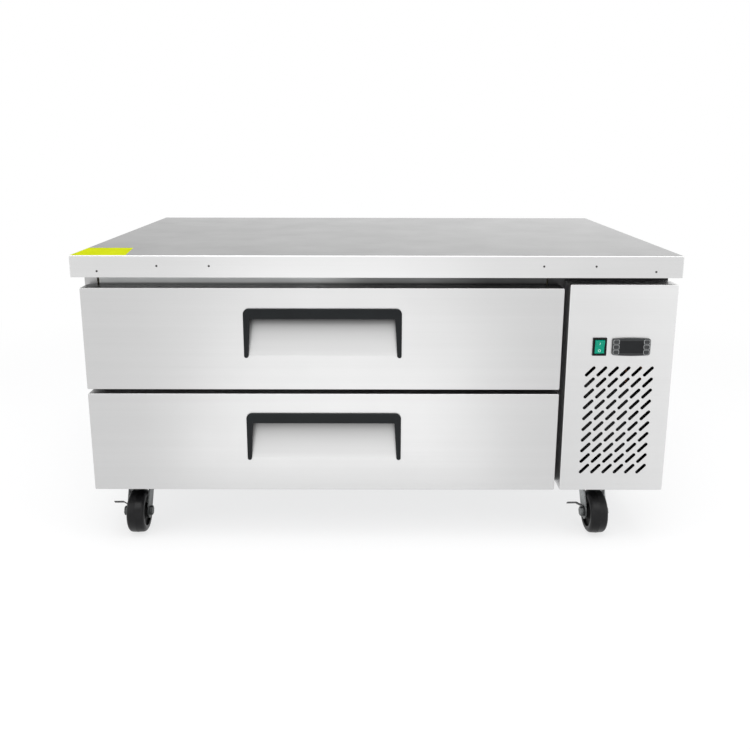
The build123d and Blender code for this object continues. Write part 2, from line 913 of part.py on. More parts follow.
def machine_front_panel():
    x = (panel_left, panel_right)
    y = (fronts_face, frame_face)
    z = (body_bottom, panel_top)
    panel = block(x, y, z)
    panel = fillet(panel.edges().filter_by(Axis.Y), panel_corner_radius)
    panel = fillet(panel.edges().group_by(Axis.Y)[0], panel_bend_radius)
    inside_y = (y[0] + panel_gauge, y[1] - panel_gauge)
    panel -= block(shrink(x, panel_gauge), inside_y, shrink(z, panel_gauge))
    mouth_y = (inside_y[1] - cut_overrun, y[1] + cut_overrun)
    panel -= block(shrink(x, panel_hem), mouth_y, shrink(z, panel_hem))
    face = (y[0] - cut_overrun, y[0] + cut_overrun)
    vents_x = panel_right - vent_middle_from_right
    panel -= backwards(vent_slots(), face, vents_x, vent_middle_height)
    for middle, width, height in (
        (switch_x, switch_body_width, switch_body_height),
        (controller_x, controller_body_width, controller_body_height),
    ):
        hole_x = around(middle, width + 2 * cutout_clearance)
        panel -= block(hole_x, face, around(controls_height, height + 2 * cutout_clearance))
    return panel


def switch_bezel():
    rim = RectangleRounded(switch_width, switch_height, switch_corner_radius)
    bezel = backwards(rim, span(fronts_face, -switch_proud), switch_x, controls_height)
    body = (fronts_face, fronts_face + switch_body_depth)
    bezel += block(around(switch_x, switch_body_width), body, around(controls_height, switch_body_height))
    well_x = around(switch_x, rocker_width + 2 * rocker_clearance)
    well_y = (fronts_face - cut_overrun, body[1] - switch_floor)
    well_z = around(controls_height, 2 * (rocker_radius + rocker_clearance))
    bezel -= block(well_x, well_y, well_z)
    pin_reach = rocker_width + 2 * rocker_pin_length + 2 * rocker_clearance
    pivot_y = fronts_face + rocker_pivot_depth
    pin_hole = rocker_pin_radius + rocker_pin_clearance
    return bezel - rod_x(pin_hole, around(switch_x, pin_reach), pivot_y, controls_height)


def switch_rocker():
    """A shallow V-shaped rocker, tilted to its pressed end, with a pin at each side."""
    rise = rocker_radius * tan(radians(rocker_tilt))
    profile = Polygon(
        (-rocker_front, 0),
        (-rocker_front - rise, rocker_radius),
        (rocker_back, rocker_radius),
        (rocker_back, -rocker_radius),
        (-rocker_front - rise, -rocker_radius),
        align=None,
    )
    profile &= Circle(rocker_radius)
    rocker = sideways(profile, around(0, rocker_width))
    rocker += rod_x(rocker_pin_radius, around(0, rocker_width + 2 * rocker_pin_length), 0, 0)
    pivot = Pos(switch_x, fronts_face + rocker_pivot_depth, controls_height)
    return pivot * Rot(rocker_tilt, 0, 0) * rocker


def controller_outline():
    """A rectangle whose long sides bow outwards a little."""
    half_x = controller_width / 2
    half_z = controller_height / 2 - controller_bow
    top = ThreePointArc((-half_x, half_z), (0, half_z + controller_bow), (half_x, half_z))
    bottom = ThreePointArc((half_x, -half_z), (0, -half_z - controller_bow), (-half_x, -half_z))
    sides = [Line((half_x, half_z), (half_x, -half_z)), Line((-half_x, -half_z), (-half_x, half_z))]
    outline = make_face([top, bottom] + sides)
    return fillet(outline.vertices(), controller_corner_radius)


def key_places():
    """The places of the six keys, as X and height, column by column."""
    column = controller_width / 2 - key_column_inset
    places = []
    for side in (-1, 1):
        for row in (1, 0, -1):
            places.append((controller_x + side * column, controls_height + row * key_row_pitch))
    return places


def controller_body():
    front = (fronts_face - controller_proud, fronts_face)
    body = backwards(controller_outline(), front, controller_x, controls_height)
    body = fillet(body.edges().group_by(Axis.Y)[0], controller_edge_round)
    body += block(around(controller_x, controller_body_width),
                  span(fronts_face, controller_body_depth),
                  around(controls_height, controller_body_height))
    recess = (front[0] - cut_overrun, front[0] + window_recess)
    body -= block(around(controller_x, window_width), recess, around(controls_height, window_height))
    well = RectangleRounded(key_size + 2 * key_clearance, key_size + 2 * key_clearance,
                            key_corner_radius + key_clearance)
    well_depth = key_thickness - key_proud + key_travel + key_clearance
    well_y = (front[0] - cut_overrun, front[0] + well_depth)
    for place_x, place_z in key_places():
        body -= backwards(well, well_y, place_x, place_z)
    return body


def controller_key(place_x, place_z):
    face = fronts_face - controller_proud - key_proud
    cap = RectangleRounded(key_size, key_size, key_corner_radius)
    return backwards(cap, span(face, key_thickness), place_x, place_z)


# Condensing unit, on its own base in the machine bay


def unit_base():
    x = shrink(bay_x, unit_base_side_gap)
    y = (frame_face + unit_base_front_gap, back_sheet_face - unit_base_back_gap)
    tray = block(x, y, span(floor_sheet_top, unit_base_lip))
    inside = (unit_base_top, floor_sheet_top + unit_base_lip + cut_overrun)
    return tray - block(shrink(x, unit_base_gauge), shrink(y, unit_base_gauge), inside)


def condenser_coil():
    x = around(bay_middle, condenser_width)
    pack = finned_coil(x, condenser_y, condenser_z, x[0] + coil_fin_pitch,
                       x[1] - coil_fin_pitch, coil_fin_pitch)
    pitch = condenser_height / (condenser_tube_rows + 1)
    bend_x = shrink(x, -condenser_bend_reach)
    tube_y = (condenser_y[0] + condenser_y[1]) / 2
    for row in range(condenser_tube_rows):
        height = condenser_z[0] + pitch * (row + 1)
        pack += rod_x(condenser_tube_radius, bend_x, tube_y, height)
    return pack


def fan_shroud():
    x = around(bay_middle, condenser_width)
    y = (condenser_y[1], shroud_back)
    shroud = block(x, y, condenser_z)
    inside = (y[0] - cut_overrun, y[1] - shroud_gauge)
    shroud -= block(shrink(x, shroud_gauge), inside, shrink(condenser_z, shroud_gauge))
    opening = (y[1] - cut_overrun, y[1] + cut_overrun)
    return shroud - rod_y(shroud_opening_radius, bay_middle, opening, condenser_fan_z)


condenser_fan_back = shroud_back + fan_depth / 4
condenser_motor_front = condenser_fan_back + fan_motor_gap
condenser_motor_back = condenser_motor_front + motor_length


def condenser_fan():
    return fan_solid(bay_middle, condenser_fan_back, condenser_fan_z, condenser_fan_radius)


def condenser_motor():
    """The motor on a bracket that stands on the unit base."""
    motor = motor_solid(bay_middle, condenser_motor_front, condenser_motor_back, condenser_fan_z)
    bracket_x = around(bay_middle, motor_bracket_width)
    upright_y = span(condenser_motor_back, motor_bracket_gauge)
    motor += block(bracket_x, upright_y, (unit_base_top, condenser_fan_z + motor_radius / 2))
    foot_y = (condenser_motor_back - motor_bracket_width, condenser_motor_back + motor_bracket_gauge)
    return motor + block(bracket_x, foot_y, span(unit_base_top, motor_bracket_gauge))


def compressor():
    """A welded dome on a foot plate with four rubber mounts, a terminal cover and two stubs."""
    plate_z = span(compressor_floor, compressor_plate)
    shell_z = (plate_z[1], plate_z[1] + compressor_height)
    shell = rod_z(compressor_radius, bay_middle, compressor_y, shell_z)
    shell = fillet(shell.edges().group_by(Axis.Z)[-1], compressor_dome)
    seam_z = around((shell_z[0] + shell_z[1]) / 2, compressor_seam_height)
    shell += rod_z(compressor_radius + compressor_seam, bay_middle, compressor_y, seam_z)
    plate_x = around(bay_middle, compressor_plate_size)
    plate_y = around(compressor_y, compressor_plate_size)
    plate = block(plate_x, plate_y, plate_z)
    shell += fillet(plate.edges().filter_by(Axis.Z), compressor_foot_radius)
    for foot_x in shrink(plate_x, compressor_foot_radius):
        for foot_y in shrink(plate_y, compressor_foot_radius):
            shell += rod_z(compressor_foot_radius, foot_x, foot_y, (unit_base_top, compressor_floor))
    cover_y = (compressor_y - compressor_radius - terminal_depth, compressor_y)
    cover_z = span(seam_z[1], terminal_height)
    shell += block(around(bay_middle, terminal_width), cover_y, cover_z)
    for side in (-1, 1):
        stub_y = (compressor_y, compressor_y + compressor_radius + stub_length)
        shell += rod_y(stub_radius, bay_middle + side * stub_spread, stub_y, shell_z[1] - stub_drop)
    return shell


def pipe(points, radius, bend):
    """A tube along straight runs that are joined by arcs."""
    path = FilletPolyline(*points, radius=bend)
    section = Plane(origin=path @ 0, z_dir=path % 0) * Circle(radius)
    return sweep(section, path)


def refrigerant_piping():
    """The discharge, liquid and suction pipes, with the drier on the liquid pipe."""
    stub_end = compressor_y + compressor_radius + stub_length
    stub_z = compressor_floor + compressor_plate + compressor_height - stub_drop
    coil_top = condenser_z[1]
    coil_y = (condenser_y[0] + condenser_y[1]) / 2
    coil_right = bay_middle + condenser_width / 2
    evaporator_end = evaporator_x[1] - pipe_side_gap
    discharge_x = coil_right - discharge_inset
    discharge_z = coil_top + discharge_rise
    stub_x = bay_middle + stub_spread
    back_y = stub_end + discharge_loop
    discharge = pipe([
        (stub_x, stub_end, stub_z),
        (stub_x, back_y, stub_z),
        (stub_x, back_y, discharge_z),
        (discharge_x, back_y, discharge_z),
        (discharge_x, coil_y, discharge_z),
        (discharge_x, coil_y, coil_top),
    ], pipe_radius, pipe_bend)
    liquid_x = coil_right - liquid_inset
    liquid_z = coil_top + liquid_rise
    drier_y = (drier_start_y, drier_start_y + drier_length)
    first = pipe([
        (liquid_x, coil_y, coil_top),
        (liquid_x, coil_y, liquid_z),
        (liquid_x, drier_y[0], liquid_z),
    ], pipe_radius, pipe_bend)
    drier = rod_y(drier_radius, liquid_x, drier_y, liquid_z)
    drier = chamfer(drier.edges(), drier_radius / 2)
    second = pipe([
        (liquid_x, drier_y[1], liquid_z),
        (liquid_x, pipe_partition_y, liquid_z),
        (liquid_x, pipe_partition_y, liquid_pipe_height),
        (evaporator_end, pipe_partition_y, liquid_pipe_height),
    ], pipe_radius, pipe_bend)
    suction_x = bay_middle - stub_spread
    suction = pipe([
        (evaporator_end, pipe_partition_y, suction_pipe_height),
        (suction_x, pipe_partition_y, suction_pipe_height),
        (suction_x, pipe_partition_y, stub_z),
        (suction_x, stub_end, stub_z),
    ], suction_radius, suction_bend)
    return group([discharge, first, drier, second, suction])


# Junction box and cord gland


def junction_box():
    x = span(divider_face, junction_width)
    y = around(junction_y, junction_depth)
    z = around(junction_z, junction_height)
    box = block(x, y, z)
    inside_x = (x[0] + junction_wall, x[1] - junction_wall)
    return box - block(inside_x, shrink(y, junction_wall), shrink(z, junction_wall))


def cord_gland():
    """A hollow gland through the back panel, with its lock nut inside and its dome nut outside."""
    gland_x, gland_z = gland_place()
    wall = span(back_sheet_face, sheet_gauge)
    body_y = (wall[0] - gland_inner_length, wall[1] + gland_body_length)
    body = rod_y(gland_thread_radius, gland_x, body_y, gland_z)
    flats = RegularPolygon(gland_nut_across / 2, 6, major_radius=False)
    body += backwards(flats, span(wall[0], -gland_nut_length), gland_x, gland_z)
    body += backwards(flats, span(wall[1], gland_nut_length), gland_x, gland_z)
    dome_y = (wall[1] + gland_nut_length, wall[1] + gland_dome_length)
    dome = rod_y(gland_nut_across / 2, gland_x, dome_y, gland_z)
    body += fillet(dome.edges().group_by(Axis.Y)[-1], gland_round)
    return body - rod_y(gland_bore_radius, gland_x, shrink(body_y, -cut_overrun), gland_z)


# Casters, each drawn about its kingpin and then turned and set in place


def caster_place(name):
    kingpin_x, kingpin_y, turn = casters[name]
    return Pos(kingpin_x, kingpin_y, 0) * Rot(0, 0, turn)


def caster_plates():
    """Mounting plates with their bolt heads, upper races and kingpins."""
    plates = []
    under_plate = body_bottom - caster_plate_gauge
    crown_top = wheel_top_clear + crown_thickness
    for kingpin_x, kingpin_y, _ in casters.values():
        plate_x = around(kingpin_x, caster_plate_x)
        plate_y = around(kingpin_y, caster_plate_y)
        plate = block(plate_x, plate_y, (under_plate, body_bottom))
        plate = fillet(plate.edges().filter_by(Axis.Z), caster_plate_radius)
        plate += rod_z(race_radius, kingpin_x, kingpin_y, (crown_top + race_gap, under_plate))
        nut_top = wheel_top_clear - race_gap
        nut_z = (nut_top - kingpin_nut_height, nut_top)
        plate += rod_z(kingpin_radius, kingpin_x, kingpin_y, (nut_z[0], under_plate))
        plate += rod_z(kingpin_nut_radius, kingpin_x, kingpin_y, nut_z)
        for bolt_x in shrink(plate_x, caster_bolt_inset):
            for bolt_y in shrink(plate_y, caster_bolt_inset):
                head = extrude(RegularPolygon(caster_bolt_across / 2, 6, major_radius=False),
                               -caster_bolt_head)
                plate += Pos(bolt_x, bolt_y, under_plate) * head
        plates.append(plate)
    return group(plates)


def leg_outer():
    """How far the outer face of a fork leg is from the middle of the wheel."""
    return hub_width / 2 + fork_hub_gap + fork_leg_gauge


def caster_fork(name):
    """The swivel crown, its two legs and the axle bolt."""
    crown = rod_z(crown_radius, 0, 0, span(wheel_top_clear, crown_thickness))
    leg_top = around(0, fork_leg_top_width)
    outline = make_hull(
        (Pos(-caster_trail, wheel_radius) * Circle(fork_leg_foot_radius)).edges()
        + [Line((leg_top[0], wheel_top_clear + crown_thickness),
                (leg_top[1], wheel_top_clear + crown_thickness))]
    )
    fork = crown
    for side in (-1, 1):
        leg_x = span(side * leg_outer(), -side * fork_leg_gauge)
        leg = sideways(outline, leg_x)
        fork += leg
    fork -= rod_z(kingpin_radius + axle_clearance, 0, 0,
                  shrink(span(wheel_top_clear, crown_thickness), -cut_overrun))
    hole_x = around(0, 4 * leg_outer())
    fork -= rod_x(axle_radius + axle_hole_clearance, hole_x, -caster_trail, wheel_radius)
    nut_start = -leg_outer()
    if name.startswith("front"):
        nut_start -= lever_gauge + 2 * lever_gap
    nut_x = span(nut_start, -axle_nut_length)
    head_x = span(leg_outer(), axle_nut_length)
    bolt = rod_x(axle_radius, (nut_x[0], head_x[1]), -caster_trail, wheel_radius)
    bolt += hex_x(axle_nut_across, nut_x, -caster_trail, wheel_radius)
    bolt += hex_x(axle_nut_across, head_x, -caster_trail, wheel_radius)
    return caster_place(name) * group([fork, bolt])


def caster_wheel(name):
    """A solid wheel with rounded tread edges, dished sides and a plain bore."""
    tyre = rod_x(wheel_radius, around(0, wheel_width), 0, 0)
    tyre = fillet(tyre.edges(), wheel_round)
    dish = rod_x(wheel_dish_outer, around(0, wheel_width + 2 * cut_overrun), 0, 0)
    dish -= rod_x(wheel_dish_outer + cut_overrun, around(0, wheel_width - 2 * wheel_dish_depth), 0, 0)
    dish -= rod_x(wheel_dish_inner, around(0, wheel_width + 4 * cut_overrun), 0, 0)
    tyre -= dish
    tyre += rod_x(wheel_dish_inner, around(0, hub_width), 0, 0)
    tyre -= rod_x(axle_radius + axle_clearance, around(0, 2 * hub_width), 0, 0)
    return caster_place(name) * Pos(0, -caster_trail, wheel_radius) * tyre


def brake_lever(name):
    """A ring on the axle bolt and a strip that leans back, cranks outwards and ends as the pedal."""
    x = span(-leg_outer() - lever_gap, -lever_gauge)
    strip_x = (x[0] + x[1]) / 2
    crank_x = strip_x - lever_crank
    path = FilletPolyline(
        (strip_x, 0), (strip_x, lever_flat), (crank_x, lever_rise),
        (crank_x - lever_pedal_length, lever_rise), radius=lever_bend_radius,
    )
    strip = backwards(trace(path, lever_gauge), around(0, lever_strip_width))
    lever = rod_x(lever_ring_radius, x, 0, 0) + Rot(-lever_lean, 0, 0) * strip
    lever -= rod_x(axle_radius + axle_hole_clearance, shrink(x, -cut_overrun), 0, 0)
    return caster_place(name) * Pos(0, -caster_trail, wheel_radius) * lever


def all_pieces():
    """Every piece of the object under its own name."""
    pieces = {
        "worktop": worktop(),
        "worktop_stiffeners": worktop_stiffeners(),
        "worktop_screws": worktop_screws(),
        "left_side_panel": side_panel(body_left, 1, left_front_flange),
        "right_side_panel": side_panel(body_right, -1, right_front_flange),
        "back_panel": back_panel(),
        "base_panel": base_panel(),
        "front_frame": front_frame(),
        "breaker_strips": breaker_strips(),
        "insulation": insulation(),
        "liner": liner(),
        "machine_divider": machine_divider(),
        "drawer_runners": drawer_runners(),
        "evaporator_coil": evaporator_coil(),
        "evaporator_housing": evaporator_housing(),
        "evaporator_fan": evaporator_fan(),
        "machine_front_panel": machine_front_panel(),
        "switch_bezel": switch_bezel(),
        "switch_rocker": switch_rocker(),
        "controller_body": controller_body(),
        "unit_base": unit_base(),
        "condenser_coil": condenser_coil(),
        "fan_shroud": fan_shroud(),
        "condenser_motor": condenser_motor(),
        "condenser_fan": condenser_fan(),
        "compressor": compressor(),
        "refrigerant_piping": refrigerant_piping(),
        "junction_box": junction_box(),
        "cord_gland": cord_gland(),
        "caster_plates": caster_plates(),
    }
    for number, (place_x, place_z) in enumerate(key_places(), start=1):
        pieces[f"controller_key_{number}"] = controller_key(place_x, place_z)
    for tier, (front_bottom, opening) in tiers.items():
        pieces[f"{tier}_drawer_skin"] = drawer_skin(front_bottom)
        pieces[f"{tier}_drawer_core"] = drawer_core(front_bottom)
        pieces[f"{tier}_drawer_inner_panel"] = drawer_inner_panel(front_bottom)
        pieces[f"{tier}_drawer_gasket"] = drawer_gasket(opening)
        pieces[f"{tier}_drawer_handle"] = drawer_handle(front_bottom)
        pieces[f"{tier}_drawer_pan_frame"] = drawer_pan_frame(front_bottom)
        pieces[f"{tier}_intermediate_slides"] = intermediate_slides(front_bottom)
    for name in casters:
        pieces[f"{name}_caster_fork"] = caster_fork(name)
        pieces[f"{name}_caster_wheel"] = caster_wheel(name)
        if name.startswith("front"):
            pieces[f"{name}_brake_lever"] = brake_lever(name)
    return pieces


os.makedirs("parts", exist_ok=True)
for node, shape in all_pieces().items():
    export_step(shape, f"parts/{node}.step")
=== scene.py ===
import bpy
import json
from math import atan2, cos, pi, radians, sin, tan
from mathutils import Matrix, Vector


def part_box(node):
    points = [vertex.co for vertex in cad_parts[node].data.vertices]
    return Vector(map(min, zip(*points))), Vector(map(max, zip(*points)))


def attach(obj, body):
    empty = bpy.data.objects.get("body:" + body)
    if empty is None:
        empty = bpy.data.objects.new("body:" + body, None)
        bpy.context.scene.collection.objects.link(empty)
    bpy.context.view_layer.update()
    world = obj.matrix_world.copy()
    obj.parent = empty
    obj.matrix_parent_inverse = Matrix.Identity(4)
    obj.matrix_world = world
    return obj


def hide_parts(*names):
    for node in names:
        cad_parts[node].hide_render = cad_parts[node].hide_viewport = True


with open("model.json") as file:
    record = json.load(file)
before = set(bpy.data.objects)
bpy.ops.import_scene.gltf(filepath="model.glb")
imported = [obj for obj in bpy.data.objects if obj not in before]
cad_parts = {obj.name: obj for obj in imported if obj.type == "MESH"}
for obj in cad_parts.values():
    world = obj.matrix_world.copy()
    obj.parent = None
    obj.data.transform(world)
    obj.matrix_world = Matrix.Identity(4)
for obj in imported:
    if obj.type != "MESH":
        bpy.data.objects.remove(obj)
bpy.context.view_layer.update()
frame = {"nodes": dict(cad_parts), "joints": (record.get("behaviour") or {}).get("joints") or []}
nodes = frame["nodes"]
bpy.ops.object.select_all(action="DESELECT")

# The room: a plain pale floor under soft studio light, seen from the place where the photograph
# was taken, a little above the worktop and about two metres away. The floor fades to white
# away from the object and keeps the object's shadow.
photo_side = 750
focal_length_px = 809.1
optical_axis_px = (373.8, 322.35)
camera_place = (-0.0063, -2.1477, 0.9252)
camera_pitch = 12.91
camera_roll = -0.089
floor_side = 24.0
floor_fade_start = 1.0
floor_fade_end = 2.6
floor_near_glow = 0.72
floor_grey = (0.96, 0.96, 0.96, 1)
studio_white = (1, 1, 1, 1)
fill_colour = (0.97, 0.98, 1.0, 1)
fill_strength = 0.5


def add_node(tree, kind, inputs=None, **settings):
    """A node of that kind, with its settings, and its inputs joined to a socket or set to a value."""
    node = tree.nodes.new(kind)
    for key, value in settings.items():
        setattr(node, key, value)
    for socket, source in (inputs or {}).items():
        if isinstance(source, bpy.types.NodeSocket):
            tree.links.new(source, node.inputs[socket])
        else:
            node.inputs[socket].default_value = source
    return node


def reached(tree, value, start, end, low, high, **settings):
    """A value that runs from low to high while another runs from start to end."""
    return add_node(tree, "ShaderNodeMapRange", {"Value": value, "From Min": start, "From Max": end,
                                                 "To Min": low, "To Max": high}, **settings).outputs[0]


def reckoned(tree, operation, first, second=0.0, third=0.0, **settings):
    """The result of one step of arithmetic on values that change over the surface."""
    return add_node(tree, "ShaderNodeMath", {0: first, 1: second, 2: third}, operation=operation,
                    **settings).outputs[0]


def seen_as_white(tree):
    """1 for the rays that see the background itself or a reflection or a view through glass."""
    path = add_node(tree, "ShaderNodeLightPath")
    seen = reckoned(tree, "MAXIMUM", path.outputs["Is Camera Ray"], path.outputs["Is Glossy Ray"])
    return reckoned(tree, "MAXIMUM", seen, path.outputs["Is Transmission Ray"])


camera = bpy.data.objects.new("camera", bpy.data.cameras.new("camera"))
bpy.context.scene.collection.objects.link(camera)
bpy.context.scene.camera = camera
camera.data.lens = focal_length_px / photo_side * camera.data.sensor_width
camera.data.shift_x = (photo_side / 2 - optical_axis_px[0]) / photo_side
camera.data.shift_y = (optical_axis_px[1] - photo_side / 2) / photo_side
camera.location = camera_place
camera.rotation_euler = (radians(90 - camera_pitch), radians(camera_roll), 0)
bpy.context.scene.view_settings.view_transform = "Standard"

world = bpy.data.worlds.new("studio")
bpy.context.scene.world = world
world.use_nodes = True
sky = world.node_tree
white = add_node(sky, "ShaderNodeBackground", {"Color": studio_white, "Strength": 1.0})
fill = add_node(sky, "ShaderNodeBackground", {"Color": fill_colour, "Strength": fill_strength})
mixed = add_node(sky, "ShaderNodeMixShader", {0: seen_as_white(sky), 1: fill.outputs[0], 2: white.outputs[0]})
sky.links.new(mixed.outputs[0], sky.nodes["World Output"].inputs["Surface"])

bpy.ops.mesh.primitive_plane_add(size=floor_side)
floor = bpy.context.object
floor.name = "floor"
paint = bpy.data.materials.new("floor_paint")
paint.use_nodes = True
ground = paint.node_tree
place = add_node(ground, "ShaderNodeTexCoord").outputs["Object"]
away = add_node(ground, "ShaderNodeVectorMath", {0: place}, operation="LENGTH").outputs["Value"]
fade = reached(ground, away, floor_fade_start, floor_fade_end, floor_near_glow, 1.0,
               interpolation_type="SMOOTHSTEP")
glow_share = reckoned(ground, "MULTIPLY", fade, seen_as_white(ground))
matt = add_node(ground, "ShaderNodeBsdfDiffuse", {"Color": floor_grey})
glow = add_node(ground, "ShaderNodeEmission", {"Color": studio_white, "Strength": 1.0})
mixed = add_node(ground, "ShaderNodeMixShader", {0: glow_share, 1: matt.outputs[0], 2: glow.outputs[0]})
ground.links.new(mixed.outputs[0], ground.nodes["Material Output"].inputs["Surface"])
floor.data.materials.append(paint)

for label, place, aim, width, height, watts in (
    ("top_light", (0.0, -0.6, 3.2), (0.0, 0.0, 0.4), 3.4, 2.6, 62.0),
    ("front_light", (0.0, -3.0, 3.2), (0.0, 0.0, 0.4), 2.4, 1.8, 34.0),
    ("low_front_light", (-0.11, -1.25, 0.255), (-0.11, -0.81, 1.153), 0.86, 1.11, 1.65),
    ("left_light", (-3.0, -1.6, 1.6), (0.0, 0.0, 0.4), 2.6, 2.4, 19.0),
    ("right_light", (3.0, -1.4, 1.6), (0.0, 0.0, 0.4), 2.6, 2.4, 19.0),
    ("back_light", (0.6, 3.0, 1.3), (0.3, 0.0, 0.5), 5.0, 1.4, 7.0),
):
    lamp = bpy.data.objects.new(label, bpy.data.lights.new(label, "AREA"))
    bpy.context.scene.collection.objects.link(lamp)
    lamp.data.shape = "RECTANGLE"
    lamp.data.size = width
    lamp.data.size_y = height
    lamp.data.energy = watts
    lamp.location = place
    lamp.rotation_euler = (Vector(aim) - Vector(place)).to_track_quat("-Z", "Y").to_euler()

# Cabinet shell: base, back and side sheets. The sides are brushed stainless steel with a flange
# folded at the front and the back, and the back and base are galvanised steel, spot welded to them.


def shader_group(name, inputs, outputs):
    """A new shader node group with these named sockets, its entry and its exit."""
    tree = bpy.data.node_groups.new(name, "ShaderNodeTree")
    for label, kind in inputs:
        tree.interface.new_socket(label, in_out="INPUT", socket_type=kind)
    for label, kind in outputs:
        tree.interface.new_socket(label, in_out="OUTPUT", socket_type=kind)
    return tree, tree.nodes.new("NodeGroupInput"), tree.nodes.new("NodeGroupOutput")


def scaled_noise(tree, place, scale, detail=3.0, roughness=0.5):
    """Noise over a place that is first scaled along each axis, so that it can run in streaks."""
    stretched = add_node(tree, "ShaderNodeVectorMath", {0: place, 1: scale}, operation="MULTIPLY")
    return add_node(tree, "ShaderNodeTexNoise", {"Vector": stretched.outputs[0], "Scale": 1.0,
                                                 "Detail": detail, "Roughness": roughness}).outputs["Fac"]


def blended(tree, factor, dark, light):
    """A colour between two others."""
    return add_node(tree, "ShaderNodeMix", {"Factor": factor, 6: dark, 7: light}, data_type="RGBA").outputs[2]


# brushed grain: long fine scratches, broad soft bands of tone and a few dull handling marks
noise_low = 0.3
noise_high = 0.7
fine_share = 0.45
wide_share = 0.30
cloud_share = 0.25
wide_stretch = 0.12
cloud_scale = (2.3, 2.3, 2.9)
mark_scale = (9.0, 9.0, 7.0)
mark_start = 0.1
mark_end = 0.42
grain_group, entry, leave = shader_group(
    "brushed_grain",
    [("Place", "NodeSocketVector"), ("Streaks", "NodeSocketVector"), ("Dark", "NodeSocketColor"),
     ("Light", "NodeSocketColor"), ("Smooth", "NodeSocketFloat"), ("Dull", "NodeSocketFloat")],
    [("Color", "NodeSocketColor"), ("Roughness", "NodeSocketFloat"), ("Height", "NodeSocketFloat")])
fine = scaled_noise(grain_group, entry.outputs["Place"], entry.outputs["Streaks"], detail=4.0,
                    roughness=0.65)
streaks = add_node(grain_group, "ShaderNodeVectorMath", {0: entry.outputs["Streaks"], "Scale": wide_stretch},
                   operation="SCALE")
wide = scaled_noise(grain_group, entry.outputs["Place"], streaks.outputs[0], detail=2.0)
cloud = scaled_noise(grain_group, entry.outputs["Place"], cloud_scale, detail=2.0)
marks = scaled_noise(grain_group, entry.outputs["Place"], mark_scale, roughness=0.6)
tone = reckoned(grain_group, "MULTIPLY", fine, fine_share)
tone = reckoned(grain_group, "MULTIPLY_ADD", wide, wide_share, tone)
tone = reckoned(grain_group, "MULTIPLY_ADD", cloud, cloud_share, tone)
tone = reached(grain_group, tone, noise_low, noise_high, 0.0, 1.0)
colour = blended(grain_group, tone, entry.outputs["Dark"], entry.outputs["Light"])
dullness = reached(grain_group, reckoned(grain_group, "MULTIPLY", fine, marks), mark_start, mark_end,
                   entry.outputs["Smooth"], entry.outputs["Dull"])
grain_group.links.new(colour, leave.inputs["Color"])
grain_group.links.new(dullness, leave.inputs["Roughness"])
grain_group.links.new(fine, leave.inputs["Height"])

grain_strength = 0.35
grain_depth = 0.00002
along_x = (4.0, 700.0, 700.0)
along_y = (700.0, 4.0, 700.0)
along_z = (700.0, 700.0, 4.0)


def finish_material(name, group, values, strength, depth, tone=None, metallic=1.0, shine=0.5):
    """A material from one of the shader groups, with a tone that may change with place."""
    material = bpy.data.materials.new(name)
    material.use_nodes = True
    tree = material.node_tree
    shader = tree.nodes["Principled BSDF"]
    place = add_node(tree, "ShaderNodeTexCoord").outputs["Object"]
    finish = add_node(tree, "ShaderNodeGroup", {"Place": place, **values}, node_tree=group)
    bump = add_node(tree, "ShaderNodeBump", {"Height": finish.outputs["Height"], "Strength": strength,
                                             "Distance": depth})
    colour = finish.outputs["Color"]
    if tone:
        colour = add_node(tree, "ShaderNodeVectorMath", {0: colour, "Scale": tone(tree, place)},
                          operation="SCALE").outputs[0]
    tree.links.new(colour, shader.inputs["Base Color"])
    tree.links.new(finish.outputs["Roughness"], shader.inputs["Roughness"])
    tree.links.new(bump.outputs[0], shader.inputs["Normal"])
    shader.inputs["Metallic"].default_value = metallic
    shader.inputs["Specular IOR Level"].default_value = shine
    return material


def brushed_steel(name, streaks, dark, light, smooth, dull, tone=None):
    """Brushed metal with its grain along one axis."""
    values = {"Streaks": streaks, "Dark": (*dark, 1), "Light": (*light, 1), "Smooth": smooth, "Dull": dull}
    return finish_material(name, grain_group, values, grain_strength, grain_depth, tone)


def dress(material, *names):
    """Gives a material to CAD nodes whose shape stays as it is."""
    for name in names:
        nodes[name].data.materials.clear()
        nodes[name].data.materials.append(material)


side_reach = -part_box("left_side_panel")[0].x
skin_edge = 0.0003
flange_painted_shade = 0.72


def flange_tone(tree, place):
    """1 on the outside of the two side sheets, with painted shade on the flanges folded behind them."""
    across = add_node(tree, "ShaderNodeSeparateXYZ", {0: place}).outputs["X"]
    away = reckoned(tree, "ABSOLUTE", across)
    return reached(tree, away, side_reach - 2 * skin_edge, side_reach - skin_edge, flange_painted_shade, 1.0)


side_steel = brushed_steel("side_steel", along_y, (0.60, 0.60, 0.60), (0.69, 0.69, 0.69), 0.26, 0.40,
                           tone=flange_tone)
dress(side_steel, "left_side_panel", "right_side_panel")

# spangle: the flat crystals of a zinc coat, each with its own tone
ragged_scale = (60.0, 60.0, 60.0)
ragged_reach = 0.006
patch_scale = (5.0, 5.0, 5.0)
crystal_share = 0.5
zinc_smooth = 0.36
zinc_dull = 0.55
spangle_strength = 0.25
spangle_depth = 0.00002
spangle_group, entry, leave = shader_group(
    "zinc_spangle",
    [("Place", "NodeSocketVector"), ("Crystals", "NodeSocketFloat"), ("Dark", "NodeSocketColor"),
     ("Light", "NodeSocketColor")],
    [("Color", "NodeSocketColor"), ("Roughness", "NodeSocketFloat"), ("Height", "NodeSocketFloat")])
ragged = scaled_noise(spangle_group, entry.outputs["Place"], ragged_scale, detail=2.0)
nudge = add_node(spangle_group, "ShaderNodeVectorMath", {0: ragged, "Scale": ragged_reach}, operation="SCALE")
moved = add_node(spangle_group, "ShaderNodeVectorMath", {0: entry.outputs["Place"], 1: nudge.outputs[0]},
                 operation="ADD")
